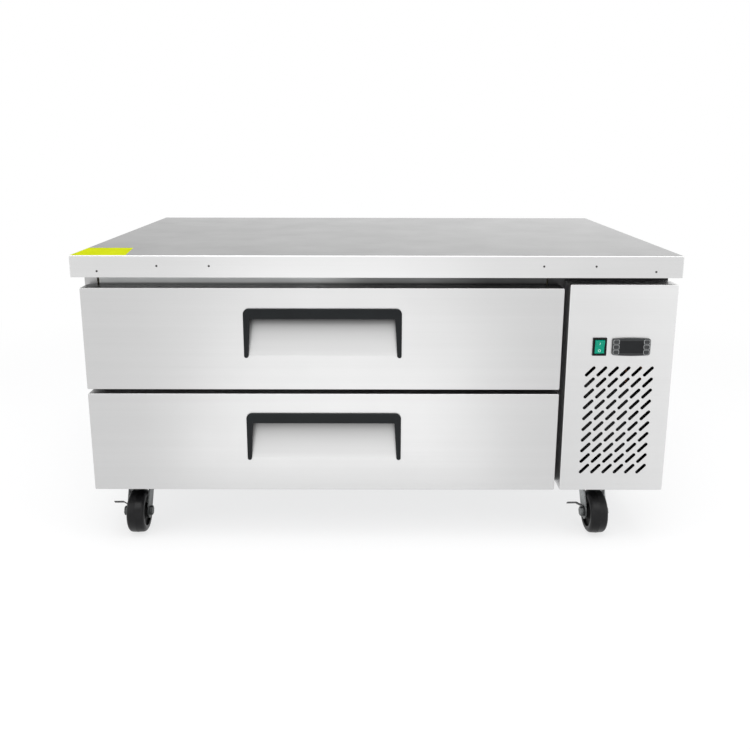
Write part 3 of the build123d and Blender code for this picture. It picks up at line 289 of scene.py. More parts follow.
cells = add_node(spangle_group, "ShaderNodeTexVoronoi", {"Vector": moved.outputs[0],
                                                         "Scale": entry.outputs["Crystals"]})
cell_tone = add_node(spangle_group, "ShaderNodeSeparateColor", {0: cells.outputs["Color"]}).outputs[0]
patch = scaled_noise(spangle_group, entry.outputs["Place"], patch_scale)
blend = reckoned(spangle_group, "MULTIPLY", patch, 1 - crystal_share)
blend = reckoned(spangle_group, "MULTIPLY_ADD", cell_tone, crystal_share, blend)
colour = blended(spangle_group, blend, entry.outputs["Dark"], entry.outputs["Light"])
dullness = reached(spangle_group, blend, 0.0, 1.0, zinc_smooth, zinc_dull)
spangle_group.links.new(colour, leave.inputs["Color"])
spangle_group.links.new(dullness, leave.inputs["Roughness"])
spangle_group.links.new(cells.outputs["Distance"], leave.inputs["Height"])


def zinc_steel(name, crystals, dark, light, tone=None):
    """Galvanised or zinc plated steel."""
    values = {"Crystals": crystals, "Dark": (*dark, 1), "Light": (*light, 1)}
    return finish_material(name, spangle_group, values, spangle_strength, spangle_depth, tone)


galvanised = zinc_steel("galvanised_sheet", 90.0, (0.42, 0.44, 0.46), (0.58, 0.60, 0.62))
dress(galvanised, "back_panel", "base_panel", "worktop_stiffeners", "unit_base", "junction_box")


weld_gap = 0.000002
square_on = 0.9


def pick_faces(piece, test):
    """In edit mode, selects only the faces that pass the test."""
    bpy.ops.object.mode_set(mode="EDIT")
    bpy.ops.mesh.select_mode(type="FACE")
    bpy.ops.mesh.select_all(action="DESELECT")
    bpy.ops.object.mode_set(mode="OBJECT")
    for face in piece.data.polygons:
        face.select = test(face)
    bpy.ops.object.mode_set(mode="EDIT")


def pick_edges(piece, test):
    """In edit mode, selects only the edges whose two ends pass the test."""
    bpy.ops.object.mode_set(mode="EDIT")
    bpy.ops.mesh.select_mode(type="EDGE")
    bpy.ops.mesh.select_all(action="DESELECT")
    bpy.ops.object.mode_set(mode="OBJECT")
    points = piece.data.vertices
    for edge in piece.data.edges:
        edge.select = test(points[edge.vertices[0]].co, points[edge.vertices[1]].co)
    bpy.ops.object.mode_set(mode="EDIT")


def finish_piece(piece, name, material, body, smooth_angle=35.0):
    """Back to object mode with clean outward faces, a name, a material and the body it rides on."""
    bpy.ops.object.mode_set(mode="EDIT")
    bpy.ops.mesh.select_all(action="SELECT")
    bpy.ops.mesh.remove_doubles(threshold=weld_gap)
    bpy.ops.mesh.normals_make_consistent(inside=False)
    bpy.ops.object.mode_set(mode="OBJECT")
    bpy.ops.object.transform_apply(location=True, rotation=True, scale=True)
    bpy.ops.object.shade_smooth_by_angle(angle=radians(smooth_angle))
    piece.name = name
    piece.data.materials.clear()
    piece.data.materials.append(material)
    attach(piece, body)
    piece.select_set(False)


def placed_copy(master, place):
    """A copy of a master at that place, with its own mesh. It alone is selected and active."""
    bpy.ops.object.select_all(action="DESELECT")
    twin = master.copy()
    twin.data = master.data.copy()
    twin.data.transform(place)
    bpy.context.scene.collection.objects.link(twin)
    twin.select_set(True)
    bpy.context.view_layer.objects.active = twin
    return twin


def copies_joined(master, places):
    """One piece made of copies of a master at these places, in place of the master."""
    bpy.ops.object.mode_set(mode="OBJECT")
    bpy.ops.object.transform_apply(location=True, rotation=True, scale=True)
    for twin in [placed_copy(master, place) for place in places]:
        twin.select_set(True)
    bpy.data.objects.remove(master)
    bpy.ops.object.join()
    return bpy.context.object


def screw_master(radius, height):
    """A pan head screw seen from above at the origin: a rounded head with a cross recess."""
    recess_long_share, recess_wide_share, recess_deep_share = 1.15, 0.3, 0.55
    edge_round_share = 0.45
    edge_round_steps = 3
    rim_sides = 24
    recess_long = recess_long_share * radius
    recess_wide = recess_wide_share * radius
    recess_deep = recess_deep_share * height
    bpy.ops.object.select_all(action="DESELECT")
    bpy.ops.mesh.primitive_cylinder_add(vertices=rim_sides, radius=radius, depth=height,
                                        location=(0, 0, height / 2))
    head = bpy.context.object
    pick_edges(head, lambda a, b: a.z > 0 and b.z > 0)
    bpy.ops.mesh.bevel(offset=edge_round_share * height, segments=edge_round_steps, affect="EDGES")
    bpy.ops.object.mode_set(mode="OBJECT")
    bpy.ops.object.select_all(action="DESELECT")
    bpy.ops.mesh.primitive_cube_add(size=1, location=(0, 0, height))
    cutter = bpy.context.object
    bpy.ops.object.mode_set(mode="EDIT")
    bpy.ops.transform.resize(value=(recess_wide, recess_wide, 2 * recess_deep))
    for sign, along in ((1, 0), (-1, 0), (1, 1), (-1, 1)):
        pick_faces(cutter, lambda face: sign * face.normal[along] > square_on)
        reach = [0, 0, 0]
        reach[along] = sign * (recess_long - recess_wide) / 2
        bpy.ops.mesh.extrude_region_move(TRANSFORM_OT_translate={"value": reach})
    bpy.ops.object.mode_set(mode="OBJECT")
    head.modifiers.new("recess", "BOOLEAN").object = cutter
    head.modifiers["recess"].operation = "DIFFERENCE"
    bpy.context.view_layer.objects.active = head
    bpy.ops.object.modifier_apply(modifier="recess")
    bpy.data.objects.remove(cutter)
    head.select_set(True)
    return head


# screws along the two edges of the back sheet
bright_zinc = zinc_steel("bright_zinc", 900.0, (0.55, 0.56, 0.58), (0.66, 0.67, 0.69))
back_low, back_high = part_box("back_panel")
back_screw_radius = 0.004
back_screw_head = 0.0022
back_screw_inset = 0.012
back_screw_rows = 5
back_screw_low = back_low.z + 2 * back_screw_inset
back_screw_pitch = (back_high.z - 2 * back_screw_inset - back_screw_low) / (back_screw_rows - 1)
facing_back = Matrix.Rotation(radians(-90), 4, "X")
back_places = []
for column_x in (back_low.x + back_screw_inset, back_high.x - back_screw_inset):
    for row in range(back_screw_rows):
        screw_place = (column_x, back_high.y, back_screw_low + row * back_screw_pitch)
        back_places.append(Matrix.Translation(screw_place) @ facing_back)
back_screws = copies_joined(screw_master(back_screw_radius, back_screw_head), back_places)
finish_piece(back_screws, "back_screws", bright_zinc, "cabinet")

# Insulated tub: closed-cell foam slabs between the outer sheets and a satin stainless liner. The
# front frame is five folded channel bars, and plastic strips cover the foam in both openings.

# moulded grain: the fine pebbled skin of a moulded part, with a little unevenness of tone
mottle_scale = (14.0, 14.0, 14.0)
pebble_strength = 0.3
moulded_group, entry, leave = shader_group(
    "moulded_skin",
    [("Place", "NodeSocketVector"), ("Pebbles", "NodeSocketFloat"), ("Dark", "NodeSocketColor"),
     ("Light", "NodeSocketColor"), ("Smooth", "NodeSocketFloat"), ("Dull", "NodeSocketFloat")],
    [("Color", "NodeSocketColor"), ("Roughness", "NodeSocketFloat"), ("Height", "NodeSocketFloat")])
pebbles = add_node(moulded_group, "ShaderNodeTexVoronoi", {"Vector": entry.outputs["Place"],
                                                           "Scale": entry.outputs["Pebbles"]},
                   feature="SMOOTH_F1")
mottle = scaled_noise(moulded_group, entry.outputs["Place"], mottle_scale, detail=4.0, roughness=0.6)
tone = reached(moulded_group, mottle, noise_low, noise_high, 0.0, 1.0)
colour = blended(moulded_group, tone, entry.outputs["Dark"], entry.outputs["Light"])
dullness = reached(moulded_group, mottle, noise_low, noise_high, entry.outputs["Smooth"],
                   entry.outputs["Dull"])
moulded_group.links.new(colour, leave.inputs["Color"])
moulded_group.links.new(dullness, leave.inputs["Roughness"])
moulded_group.links.new(pebbles.outputs["Distance"], leave.inputs["Height"])


def moulded(name, dark, light, smooth=0.4, dull=0.55, pebble=900.0, depth=0.00006, metallic=0.0, shine=0.5):
    """Moulded plastic or rubber, or enamel over metal, with a fine surface texture."""
    values = {"Pebbles": pebble, "Dark": (*dark, 1), "Light": (*light, 1), "Smooth": smooth, "Dull": dull}
    return finish_material(name, moulded_group, values, pebble_strength, depth, metallic=metallic,
                           shine=shine)


foam = moulded("rigid_foam", (0.80, 0.70, 0.46), (0.90, 0.82, 0.60), 0.8, 0.95, pebble=380.0,
               depth=0.0004)
liner_steel = brushed_steel("liner_steel", along_x, (0.58, 0.59, 0.60), (0.66, 0.67, 0.68), 0.30, 0.46)
# painted shade on the header of the front frame, which lies in the dark gap under the worktop
header_shade_left = -0.16
header_shade_right = 0.03
header_shade = 0.42
header_end_left = 0.11
header_end_right = 0.25
header_end_shade = 0.42
header_low_z = 0.6035
header_low_band = 0.004
header_low_painted_shade = 0.45


def header_painted_shade(tree, place):
    """1 on the left of the front frame, with painted shade on its right half and along the header's lower
    edge.
    """
    parts = add_node(tree, "ShaderNodeSeparateXYZ", {0: place})
    across = reached(tree, parts.outputs["X"], header_shade_left, header_shade_right, 1.0, header_shade,
                     interpolation_type="SMOOTHSTEP")
    end = reached(tree, parts.outputs["X"], header_end_left, header_end_right, 1.0, header_end_shade)
    across = reckoned(tree, "MULTIPLY", across, end)
    up = reached(tree, parts.outputs["Z"], header_low_z, header_low_z + header_low_band, header_low_painted_shade, 1.0)
    return reckoned(tree, "MULTIPLY", across, up)


frame_steel = brushed_steel("frame_steel", along_x, (0.62, 0.63, 0.63), (0.70, 0.71, 0.71), 0.40, 0.55,
                            tone=header_painted_shade)
strip_plastic = moulded("strip_plastic", (0.42, 0.43, 0.44), (0.50, 0.51, 0.52), 0.45, 0.6)
dress(foam, "insulation", "lower_drawer_core", "upper_drawer_core")
dress(liner_steel, "liner", "evaporator_housing")
dress(frame_steel, "front_frame")
dress(strip_plastic, "breaker_strips")

# Drawer runners: zinc plated slide members in three parts, on posts that are riveted to the liner.
# The rivets and the bearing balls are too small to show from a step away.
slide_zinc = zinc_steel("slide_zinc", 260.0, (0.50, 0.51, 0.53), (0.62, 0.63, 0.65))
dress(slide_zinc, "drawer_runners", "lower_intermediate_slides", "upper_intermediate_slides")

# Evaporator: a finned aluminium coil and a small fan behind a louvred steel cover on the back wall.
# The fins are pressed on to the tubes, and the fan is moulded in black plastic.
fin_aluminium = brushed_steel("fin_aluminium", along_z, (0.62, 0.63, 0.64), (0.74, 0.75, 0.76), 0.35, 0.5)
fan_plastic = moulded("fan_plastic", (0.012, 0.012, 0.014), (0.025, 0.025, 0.028), 0.4, 0.55)
dress(fin_aluminium, "evaporator_coil")
dress(fan_plastic, "evaporator_fan", "condenser_fan")

# Condensing unit: a black enamelled compressor, the condenser coil with its shroud, fan and motor,
# and copper pipes brazed between them. All of it stands on a galvanised tray in the machine bay.
black_enamel = moulded("black_enamel", (0.012, 0.012, 0.013), (0.03, 0.03, 0.032), 0.22, 0.36, pebble=420.0,
                       depth=0.00008)
# the machine divider takes the black enamel as painted shade in the dark gap between the drawers and the
# panel
dress(black_enamel, "compressor", "fan_shroud", "condenser_motor", "machine_divider", "condenser_coil")
copper = brushed_steel("copper_pipe", along_z, (0.30, 0.13, 0.07), (0.48, 0.22, 0.13), 0.32, 0.5)
dress(copper, "refrigerant_piping")

# Drawers: a brushed stainless skin folded round a foam core, closed by an inner panel, with a soft
# magnetic gasket. The finger recess is pressed into the skin, and the shade that the black moulded
# surround clipped round it casts on its upper part is painted shade in the steel.
front_dark = (0.585, 0.585, 0.585)
front_light = (0.625, 0.625, 0.625)
band_height = 0.0234
leg_top = 0.0149
leg_bottom = 0.0096
surround_corner = 0.013
surround_inner_corner = 0.002
surround_leg_round = 0.0044
surround_edge_round = 0.0024
surround_corner_steps = 8
surround_edge_steps = 5
flat_angle = radians(1)
recess_shade = 0.82
recess_shade_reach = 0.027
recess_edge_start = 0.0004
recess_edge_end = 0.003
top_edge_painted_shade = 0.45
top_edge_deep = 0.0005
same_place = 0.00001
gasket_rubber = moulded("gasket_rubber", (0.02, 0.02, 0.021), (0.035, 0.035, 0.037), 0.55, 0.7, shine=0.3)
handle_plastic = moulded("handle_plastic", (0.005, 0.006, 0.007), (0.008, 0.010, 0.011), 0.38, 0.5,
                         shine=0.17)


def front_painted_shade(middle_x, half_width, face_y, shade_top, skin_top):
    """1 on the face of a drawer, with painted shade that falls off up the finger recess and painted shade on
    the skin's upper edge.
    """
    def tone(tree, place):
        parts = add_node(tree, "ShaderNodeSeparateXYZ", {0: place})
        aside = reckoned(tree, "ABSOLUTE", reckoned(tree, "SUBTRACT", parts.outputs["X"], middle_x))
        above = reckoned(tree, "SUBTRACT", parts.outputs["Z"], shade_top)
        depth = reached(tree, parts.outputs["Y"], face_y + recess_edge_start, face_y + recess_edge_end,
                        0.0, recess_shade)
        depth = reckoned(tree, "MULTIPLY", depth, reckoned(tree, "LESS_THAN", aside, half_width))
        depth = reckoned(tree, "MULTIPLY", depth, reckoned(tree, "LESS_THAN", above, band_height))
        fall = reckoned(tree, "EXPONENT", reckoned(tree, "DIVIDE", above, recess_shade_reach), use_clamp=True)
        lit = reckoned(tree, "SUBTRACT", 1.0, reckoned(tree, "MULTIPLY", depth, fall))
        edge = reached(tree, parts.outputs["Z"], skin_top - top_edge_deep, skin_top, 1.0, top_edge_painted_shade)
        return reckoned(tree, "MULTIPLY", lit, edge)
    return tone


def flat_outline(width, height, middle, lying=False):
    """A flat rectangle that faces the front, or upwards when it lies, open in edit mode."""
    tilt = 0 if lying else radians(90)
    size = (width, height, 1) if lying else (width, 1, height)
    bpy.ops.object.select_all(action="DESELECT")
    bpy.ops.mesh.primitive_plane_add(size=1, location=middle, rotation=(tilt, 0, 0))
    bpy.ops.object.transform_apply(location=True, rotation=True, scale=True)
    piece = bpy.context.object
    bpy.ops.object.mode_set(mode="EDIT")
    bpy.ops.mesh.select_all(action="SELECT")
    bpy.ops.transform.resize(value=size, center_override=middle)
    return piece


def pick_points(piece, test):
    """In edit mode, selects only the points that pass the test."""
    bpy.ops.object.mode_set(mode="EDIT")
    bpy.ops.mesh.select_mode(type="VERT")
    bpy.ops.mesh.select_all(action="DESELECT")
    bpy.ops.object.mode_set(mode="OBJECT")
    for point in piece.data.vertices:
        point.select = test(point.co)
    bpy.ops.object.mode_set(mode="EDIT")


def thicken(piece, depth):
    """Gives a flat outline its depth, towards the side that it faces."""
    bpy.ops.object.mode_set(mode="OBJECT")
    wall = piece.modifiers.new("wall", "SOLIDIFY")
    wall.thickness = depth
    wall.offset = 1.0
    bpy.ops.object.modifier_apply(modifier="wall")


# the surround, modelled on the lower drawer
grip_low, grip_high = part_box("lower_drawer_handle")
grip_x = (grip_low.x + grip_high.x) / 2
inner_half = (grip_high.x - grip_low.x) / 2 - leg_top
band_low = grip_high.z - band_height
grip = flat_outline(2 * inner_half, band_height, (grip_x, grip_high.y, (grip_high.z + band_low) / 2))
for side in (-1, 1):
    inner_x = grip_x + side * inner_half
    pick_edges(grip, lambda a, b: min(side * (a.x - inner_x), side * (b.x - inner_x)) > -same_place)
    bpy.ops.mesh.extrude_region_move(TRANSFORM_OT_translate={"value": (side * leg_top, 0, 0)})
    pick_edges(grip, lambda a, b: max(a.z, b.z) < band_low + same_place
               and min(side * (a.x - inner_x), side * (b.x - inner_x)) > -same_place)
    bpy.ops.mesh.extrude_region_move(TRANSFORM_OT_translate={"value": (0, 0, grip_low.z - band_low)})
    pick_points(grip, lambda place: place.z < grip_low.z + same_place and abs(place.x - inner_x) < same_place)
    bpy.ops.transform.translate(value=(side * (leg_top - leg_bottom), 0, 0))
bpy.ops.mesh.select_all(action="SELECT")
bpy.ops.mesh.dissolve_limited(angle_limit=flat_angle)
for test, radius in (
    (lambda place: place.z > grip_high.z - same_place, surround_corner),
    (lambda place: abs(place.z - band_low) < same_place, surround_inner_corner),
    (lambda place: place.z < grip_low.z + same_place, surround_leg_round),
):
    pick_points(grip, test)
    bpy.ops.mesh.bevel(offset=radius, segments=surround_corner_steps, affect="VERTICES")
thicken(grip, grip_high.y - grip_low.y)
pick_edges(grip, lambda a, b: max(a.y, b.y) < grip_low.y + same_place)
bpy.ops.mesh.bevel(offset=surround_edge_round, segments=surround_edge_steps, affect="EDGES")
bpy.ops.object.mode_set(mode="OBJECT")

for tier in ("lower", "upper"):
    low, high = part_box(f"{tier}_drawer_handle")
    surround = placed_copy(grip, Matrix.Translation(low - grip_low))
    finish_piece(surround, f"{tier}_handle_surround", handle_plastic, f"{tier}_drawer")
    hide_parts(f"{tier}_drawer_handle")

    skin_low, skin_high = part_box(f"{tier}_drawer_skin")
    skin_steel = brushed_steel(f"{tier}_front_steel", along_x, front_dark, front_light, 0.36, 0.44,
                               tone=front_painted_shade(grip_x, inner_half + leg_top, skin_low.y,
                                               high.z - band_height, skin_high.z))
    dress(skin_steel, f"{tier}_drawer_skin")
    dress(liner_steel, f"{tier}_drawer_inner_panel", f"{tier}_drawer_pan_frame")
bpy.data.objects.remove(grip)

# the gasket: a base strip, a narrow bellows web and a magnet strip that meets the frame
gasket_wide = 0.010
gasket_base_deep = 0.0025
web_inset = 0.0016
web_deep = 0.0022
for tier in ("lower", "upper"):
    seal_low, seal_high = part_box(f"{tier}_drawer_gasket")
    seal_wide = seal_high.x - seal_low.x
    seal_tall = seal_high.z - seal_low.z
    seal_middle = (seal_low.x + seal_wide / 2, seal_low.y, seal_low.z + seal_tall / 2)
    magnet_deep = seal_high.y - seal_low.y - gasket_base_deep - web_deep
    gasket = flat_outline(seal_wide, seal_tall, seal_middle)
    bpy.ops.mesh.inset(thickness=gasket_wide)
    pick_faces(gasket, lambda face: face.area > seal_wide * seal_tall / 2)
    bpy.ops.mesh.delete(type="FACE")
    bpy.ops.mesh.select_all(action="SELECT")
    bpy.ops.mesh.flip_normals()
    thicken(gasket, gasket_base_deep)
    for deep, widened in ((web_deep, False), (magnet_deep, True)):
        back_y = max(point.co.y for point in gasket.data.vertices)
        pick_faces(gasket, lambda face: face.normal.y > square_on and face.center.y > back_y - same_place)
        bpy.ops.mesh.inset(thickness=web_inset, use_outset=widened)
        bpy.ops.mesh.extrude_region_move(TRANSFORM_OT_translate={"value": (0, deep, 0)})
        bpy.ops.object.mode_set(mode="OBJECT")
    finish_piece(gasket, f"{tier}_gasket_bellows", gasket_rubber, f"{tier}_drawer")
    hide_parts(f"{tier}_drawer_gasket")

# Machine bay front: one folded stainless panel with rows of slanted air slots, which carries the
# green rocker switch and the temperature controller with its six keys.
panel_low, panel_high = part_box("machine_front_panel")
panel_fold = 0.004
cut_edge_start = 0.0003
cut_edge_end = 0.0001
cut_edge_painted_shade = 0.06
panel_left_painted_light = 0.90
panel_low_painted_light = 0.93
panel_high_painted_light = 1.05


def panel_painted_light(tree, place):
    """Painted light that rises a little to the right and upwards, and painted shade, nearly black, on the cut
    edges of the openings.
    """
    from_middle = add_node(tree, "ShaderNodeVectorMath", {0: place, 1: (panel_low + panel_high) / 2},
                           operation="SUBTRACT")
    sizes = add_node(tree, "ShaderNodeVectorMath", {0: from_middle.outputs[0]}, operation="ABSOLUTE")
    parts = add_node(tree, "ShaderNodeSeparateXYZ", {0: sizes.outputs[0]})
    half = (panel_high - panel_low) / 2
    cut = reached(tree, parts.outputs["Y"], half.y - cut_edge_start, half.y - cut_edge_end, 1.0, 0.0)
    for axis, reach in (("X", half.x), ("Z", half.z)):
        inner = reckoned(tree, "LESS_THAN", parts.outputs[axis], reach - panel_fold)
        cut = reckoned(tree, "MULTIPLY", cut, inner)
    spot = add_node(tree, "ShaderNodeSeparateXYZ", {0: place})
    across = reached(tree, spot.outputs["X"], panel_low.x, panel_high.x, panel_left_painted_light, 1.0)
    up = reached(tree, spot.outputs["Z"], panel_low.z, panel_high.z, panel_low_painted_light, panel_high_painted_light)
    dark = reached(tree, cut, 0.0, 1.0, 1.0, cut_edge_painted_shade)
    return reckoned(tree, "MULTIPLY", reckoned(tree, "MULTIPLY", across, up), dark)


panel_steel = brushed_steel("panel_steel", along_x, (0.74, 0.74, 0.74), (0.78, 0.78, 0.78), 0.36, 0.44,
                            tone=panel_painted_light)
dress(panel_steel, "machine_front_panel")

# the near-black strip behind the upper edge of the panel, a sheet of painted shade for the dark gap there,
# with a stiffening lip along its lower edge
strip_painted_shade = moulded("strip_painted_shade", (0.035, 0.035, 0.036), (0.05, 0.05, 0.052), 0.45, 0.6, metallic=1.0)
strip_sheet = 0.0012
strip_height = 0.030
strip_lip = 0.004
strip_lap = 0.004
strip_gap = 0.0006
strip_seat_gap = 0.0002
strip_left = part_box("machine_divider")[1].x - strip_lap
strip_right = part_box("right_side_panel")[1].x - strip_sheet
strip_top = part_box("worktop")[0].z - strip_gap
strip_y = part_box("front_frame")[0].y - strip_seat_gap
strip_middle = ((strip_left + strip_right) / 2, strip_y, strip_top - strip_height / 2)
strip = flat_outline(strip_right - strip_left, strip_height, strip_middle)
pick_edges(strip, lambda a, b: max(a.z, b.z) < strip_middle[2])
bpy.ops.mesh.extrude_region_move(TRANSFORM_OT_translate={"value": (0, -strip_lip, 0)})
thicken(strip, strip_sheet)
finish_piece(strip, "bay_shade_strip", strip_painted_shade, "cabinet")

gloss_black = moulded("gloss_black", (0.003, 0.003, 0.003), (0.006, 0.006, 0.006), 0.2, 0.3, shine=0.15)
rocker_green = moulded("rocker_green", (0.0, 0.25, 0.155), (0.0, 0.30, 0.19), 0.12, 0.2, shine=0.2)
controller_grey = moulded("controller_grey", (0.020, 0.021, 0.022), (0.030, 0.032, 0.033), 0.35, 0.5,
                          shine=0.35)
key_grey = moulded("key_grey", (0.030, 0.032, 0.033), (0.045, 0.047, 0.048), 0.4, 0.5, shine=0.3)
key_count = 6
key_names = [f"controller_key_{number}" for number in range(1, key_count + 1)]
dress(gloss_black, "switch_bezel", "cord_gland")
dress(rocker_green, "switch_rocker")
dress(controller_grey, "controller_body")
dress(key_grey, *key_names)

# the smoked window of the controller, let into the face
smoked_glass = moulded("smoked_glass", (0.006, 0.007, 0.008), (0.010, 0.011, 0.012), 0.12, 0.2, pebble=40.0,
                       depth=0.0, shine=0.25)
window_width = 0.0528
window_height = 0.0274
window_corner = 0.0015
corner_steps = 5
window_sunk = 0.0003
window_thick = 0.0005
face_low, face_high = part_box("controller_body")
face_x = (face_low.x + face_high.x) / 2
face_z = (face_low.z + face_high.z) / 2
window = flat_outline(window_width, window_height, (face_x, face_low.y + window_sunk + window_thick, face_z))
pick_points(window, lambda place: True)
bpy.ops.mesh.bevel(offset=window_corner, segments=corner_steps, affect="VERTICES")
thicken(window, window_thick)
finish_piece(window, "controller_window", smoked_glass, "cabinet")

# the pale printed borders round the keys
print_grey = moulded("print_grey", (0.30, 0.31, 0.31), (0.40, 0.41, 0.41), 0.5, 0.6, depth=0.0)
border_width = 0.0138
border_height = 0.0104
border_line = 0.0011
border_corner = 0.003
border_thick = 0.00012
border = flat_outline(border_width, border_height, (0, 0, 0))
pick_points(border, lambda place: True)
bpy.ops.mesh.bevel(offset=border_corner, segments=corner_steps, affect="VERTICES")
pick_faces(border, lambda face: True)
bpy.ops.mesh.inset(thickness=border_line)
pick_faces(border, lambda face: len(face.vertices) > 4)
bpy.ops.mesh.delete(type="FACE")
thicken(border, border_thick)
key_places = []
for key_name in key_names:
    key_low, key_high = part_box(key_name)
    key_middle = ((key_low.x + key_high.x) / 2, face_low.y, (key_low.z + key_high.z) / 2)
    key_places.append(Matrix.Translation(key_middle))
finish_piece(copies_joined(border, key_places), "key_borders", print_grey, "cabinet")

# the on and off marks on the rocker: a bar on its upper face and a ring on its lower face
mark_white = moulded("mark_white", (0.45, 0.75, 0.65), (0.55, 0.85, 0.75), 0.4, 0.5, depth=0.0)
mark_thick = 0.00012
mark_middle = 0.0082
bar_width = 0.0013
bar_height = 0.0058
ring_radius = 0.0030
ring_line = 0.0009
ring_sides = 32
rocker_tilt = radians(8.0)
rocker_front = 0.004
rocker_pivot_sunk = 0.0045
bezel_low, bezel_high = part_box("switch_bezel")
pivot_place = (bezel_low + bezel_high) / 2
pivot_place.y = bezel_low.y + rocker_pivot_sunk
pivot = Matrix.Translation(pivot_place) @ Matrix.Rotation(rocker_tilt, 4, "X")
bar = flat_outline(bar_width, bar_height, (0, 0, 0))
thicken(bar, mark_thick)
bpy.ops.object.select_all(action="DESELECT")
bpy.ops.mesh.primitive_circle_add(vertices=ring_sides, radius=ring_radius, fill_type="NGON",
                                  rotation=(radians(90), 0, 0))
bpy.ops.object.transform_apply(location=True, rotation=True, scale=True)
ring = bpy.context.object
pick_faces(ring, lambda face: True)
bpy.ops.mesh.inset(thickness=ring_line)
pick_faces(ring, lambda face: len(face.vertices) > 4)
bpy.ops.mesh.delete(type="FACE")
thicken(ring, mark_thick)
for mark, side in ((bar, 1), (ring, -1)):
    seat = Matrix.Translation((0, -rocker_front - mark_middle * tan(rocker_tilt), side * mark_middle))
    mark.data.transform(pivot @ seat @ Matrix.Rotation(side * rocker_tilt, 4, "X"))
bar.select_set(True)
ring.select_set(True)
bpy.ops.object.join()
finish_piece(bpy.context.object, "rocker_marks", mark_white, "rocker")

# Casters: a pressed zinc plated fork under a plate, with a double ball race between them, and a solid
# black wheel on a bolt. The front two have a black lacquered brake lever beside the wheel.
crown_shade_low = 0.096
crown_shade_high = 0.104
crown_painted_shade = 0.16
fork_left_x = -0.5
fork_right_x = 0.5
fork_right_painted_light = 2.3
bolt_darker_low = 0.058
bolt_darker_high = 0.080
bolt_darker_tone = 0.45


def fork_tone(tree, place):
    """Painted light on the legs of the right forks, painted shade on the crowns, and darker towards the
    bottom round the bolts.
    """
    parts = add_node(tree, "ShaderNodeSeparateXYZ", {0: place})
    right_painted_light = reached(tree, parts.outputs["X"], fork_left_x, fork_right_x, 1.0, fork_right_painted_light)
    crown = reached(tree, parts.outputs["Z"], crown_shade_low, crown_shade_high, 1.0, crown_painted_shade)
    bolt = reached(tree, parts.outputs["Z"], bolt_darker_low, bolt_darker_high, bolt_darker_tone, 1.0)
    return reckoned(tree, "MULTIPLY", reckoned(tree, "MULTIPLY", right_painted_light, crown), bolt)


plated_zinc = zinc_steel("plated_zinc", 420.0, (0.06, 0.065, 0.065), (0.26, 0.27, 0.27), tone=fork_tone)
lever_black = moulded("lever_black", (0.012, 0.012, 0.013), (0.024, 0.024, 0.026), 0.25, 0.4)
tread_rubber = moulded("tread_rubber", (0.004, 0.004, 0.0045), (0.009, 0.009, 0.0095), 0.28, 0.42, shine=0.20)
hub_plastic = moulded("hub_plastic", (0.002, 0.002, 0.002), (0.005, 0.005, 0.005), 0.35, 0.5, shine=0.06)
dress(plated_zinc, "caster_plates")
dress(lever_black, "front_left_brake_lever", "front_right_brake_lever")


turned_steps = 64
turned_smooth_angle = 40.0
turned_weld_gap = 0.00001
starting_size = 0.001


def lathe(points):
    """A closed outline of (along, out) pairs, traced point by point and spun round the X axis."""
    bpy.ops.object.select_all(action="DESELECT")
    bpy.ops.mesh.primitive_plane_add(size=starting_size)
    piece = bpy.context.object
    bpy.ops.object.mode_set(mode="EDIT")
    bpy.ops.mesh.select_mode(type="VERT")
    bpy.ops.mesh.select_all(action="SELECT")
    bpy.ops.mesh.merge(type="CENTER")
    bpy.ops.transform.translate(value=(points[0][0], 0, points[0][1]))
    for before, after in zip(points, points[1:]):
        bpy.ops.mesh.extrude_region_move(
            TRANSFORM_OT_translate={"value": (after[0] - before[0], 0, after[1] - before[1])})
    bpy.ops.mesh.select_all(action="SELECT")
    bpy.ops.mesh.edge_face_add()
    bpy.ops.mesh.delete(type="ONLY_FACE")
    bpy.ops.mesh.select_all(action="SELECT")
    bpy.ops.mesh.spin(steps=turned_steps, angle=2 * pi, center=(0, 0, 0), axis=(1, 0, 0))
    bpy.ops.mesh.select_all(action="SELECT")
    bpy.ops.mesh.remove_doubles(threshold=turned_weld_gap)
    bpy.ops.mesh.normals_make_consistent(inside=False)
    bpy.ops.object.mode_set(mode="OBJECT")
    return piece


def arc(middle_along, middle_out, radius, start, end, count):
    """Points on an arc in the outline of a turned piece, from one angle to another in degrees."""
    turns = [radians(start + (end - start) * step / count) for step in range(count + 1)]
    return [(middle_along + radius * cos(turn), middle_out + radius * sin(turn)) for turn in turns]


def mirrored(side):
    """The other side of a turned piece's outline, in the order that joins the two."""
    return [(-along, out) for along, out in reversed(side)]


wheel_radius = 0.0508
tread_half = 0.0205
tread_round = 0.0095
tread_crown = 0.0006
tread_round_start = 75
tread_round_steps = 6
seam_half = 0.0007
seam_high = 0.0002
rim_radius = 0.0375
rim_lip = 0.0020
rim_step = 0.0008
web_step = 0.0018
web_edge = 0.0018
dish_edge = 0.0032
dish_depth = 0.0055
boss_foot = 0.004
boss_foot_rise = 0.002
boss_foot_round = 0.0014
boss_step = 0.0004
boss_round = 0.0008
boss_shoulder = 0.001
boss_face = 0.003
hub_half = 0.022
hub_radius = 0.0170
bore_radius = 0.00606
bore_round = 0.0005
shoulder_out = wheel_radius - tread_crown - tread_round
tread_shoulder = arc(tread_half - tread_round, shoulder_out, tread_round, tread_round_start, 0,
                     tread_round_steps)
tread_side = tread_shoulder + [
    (tread_half, rim_radius + rim_lip),
    (tread_half - rim_step, rim_radius),
    (tread_half - rim_step, rim_radius - rim_lip),
]
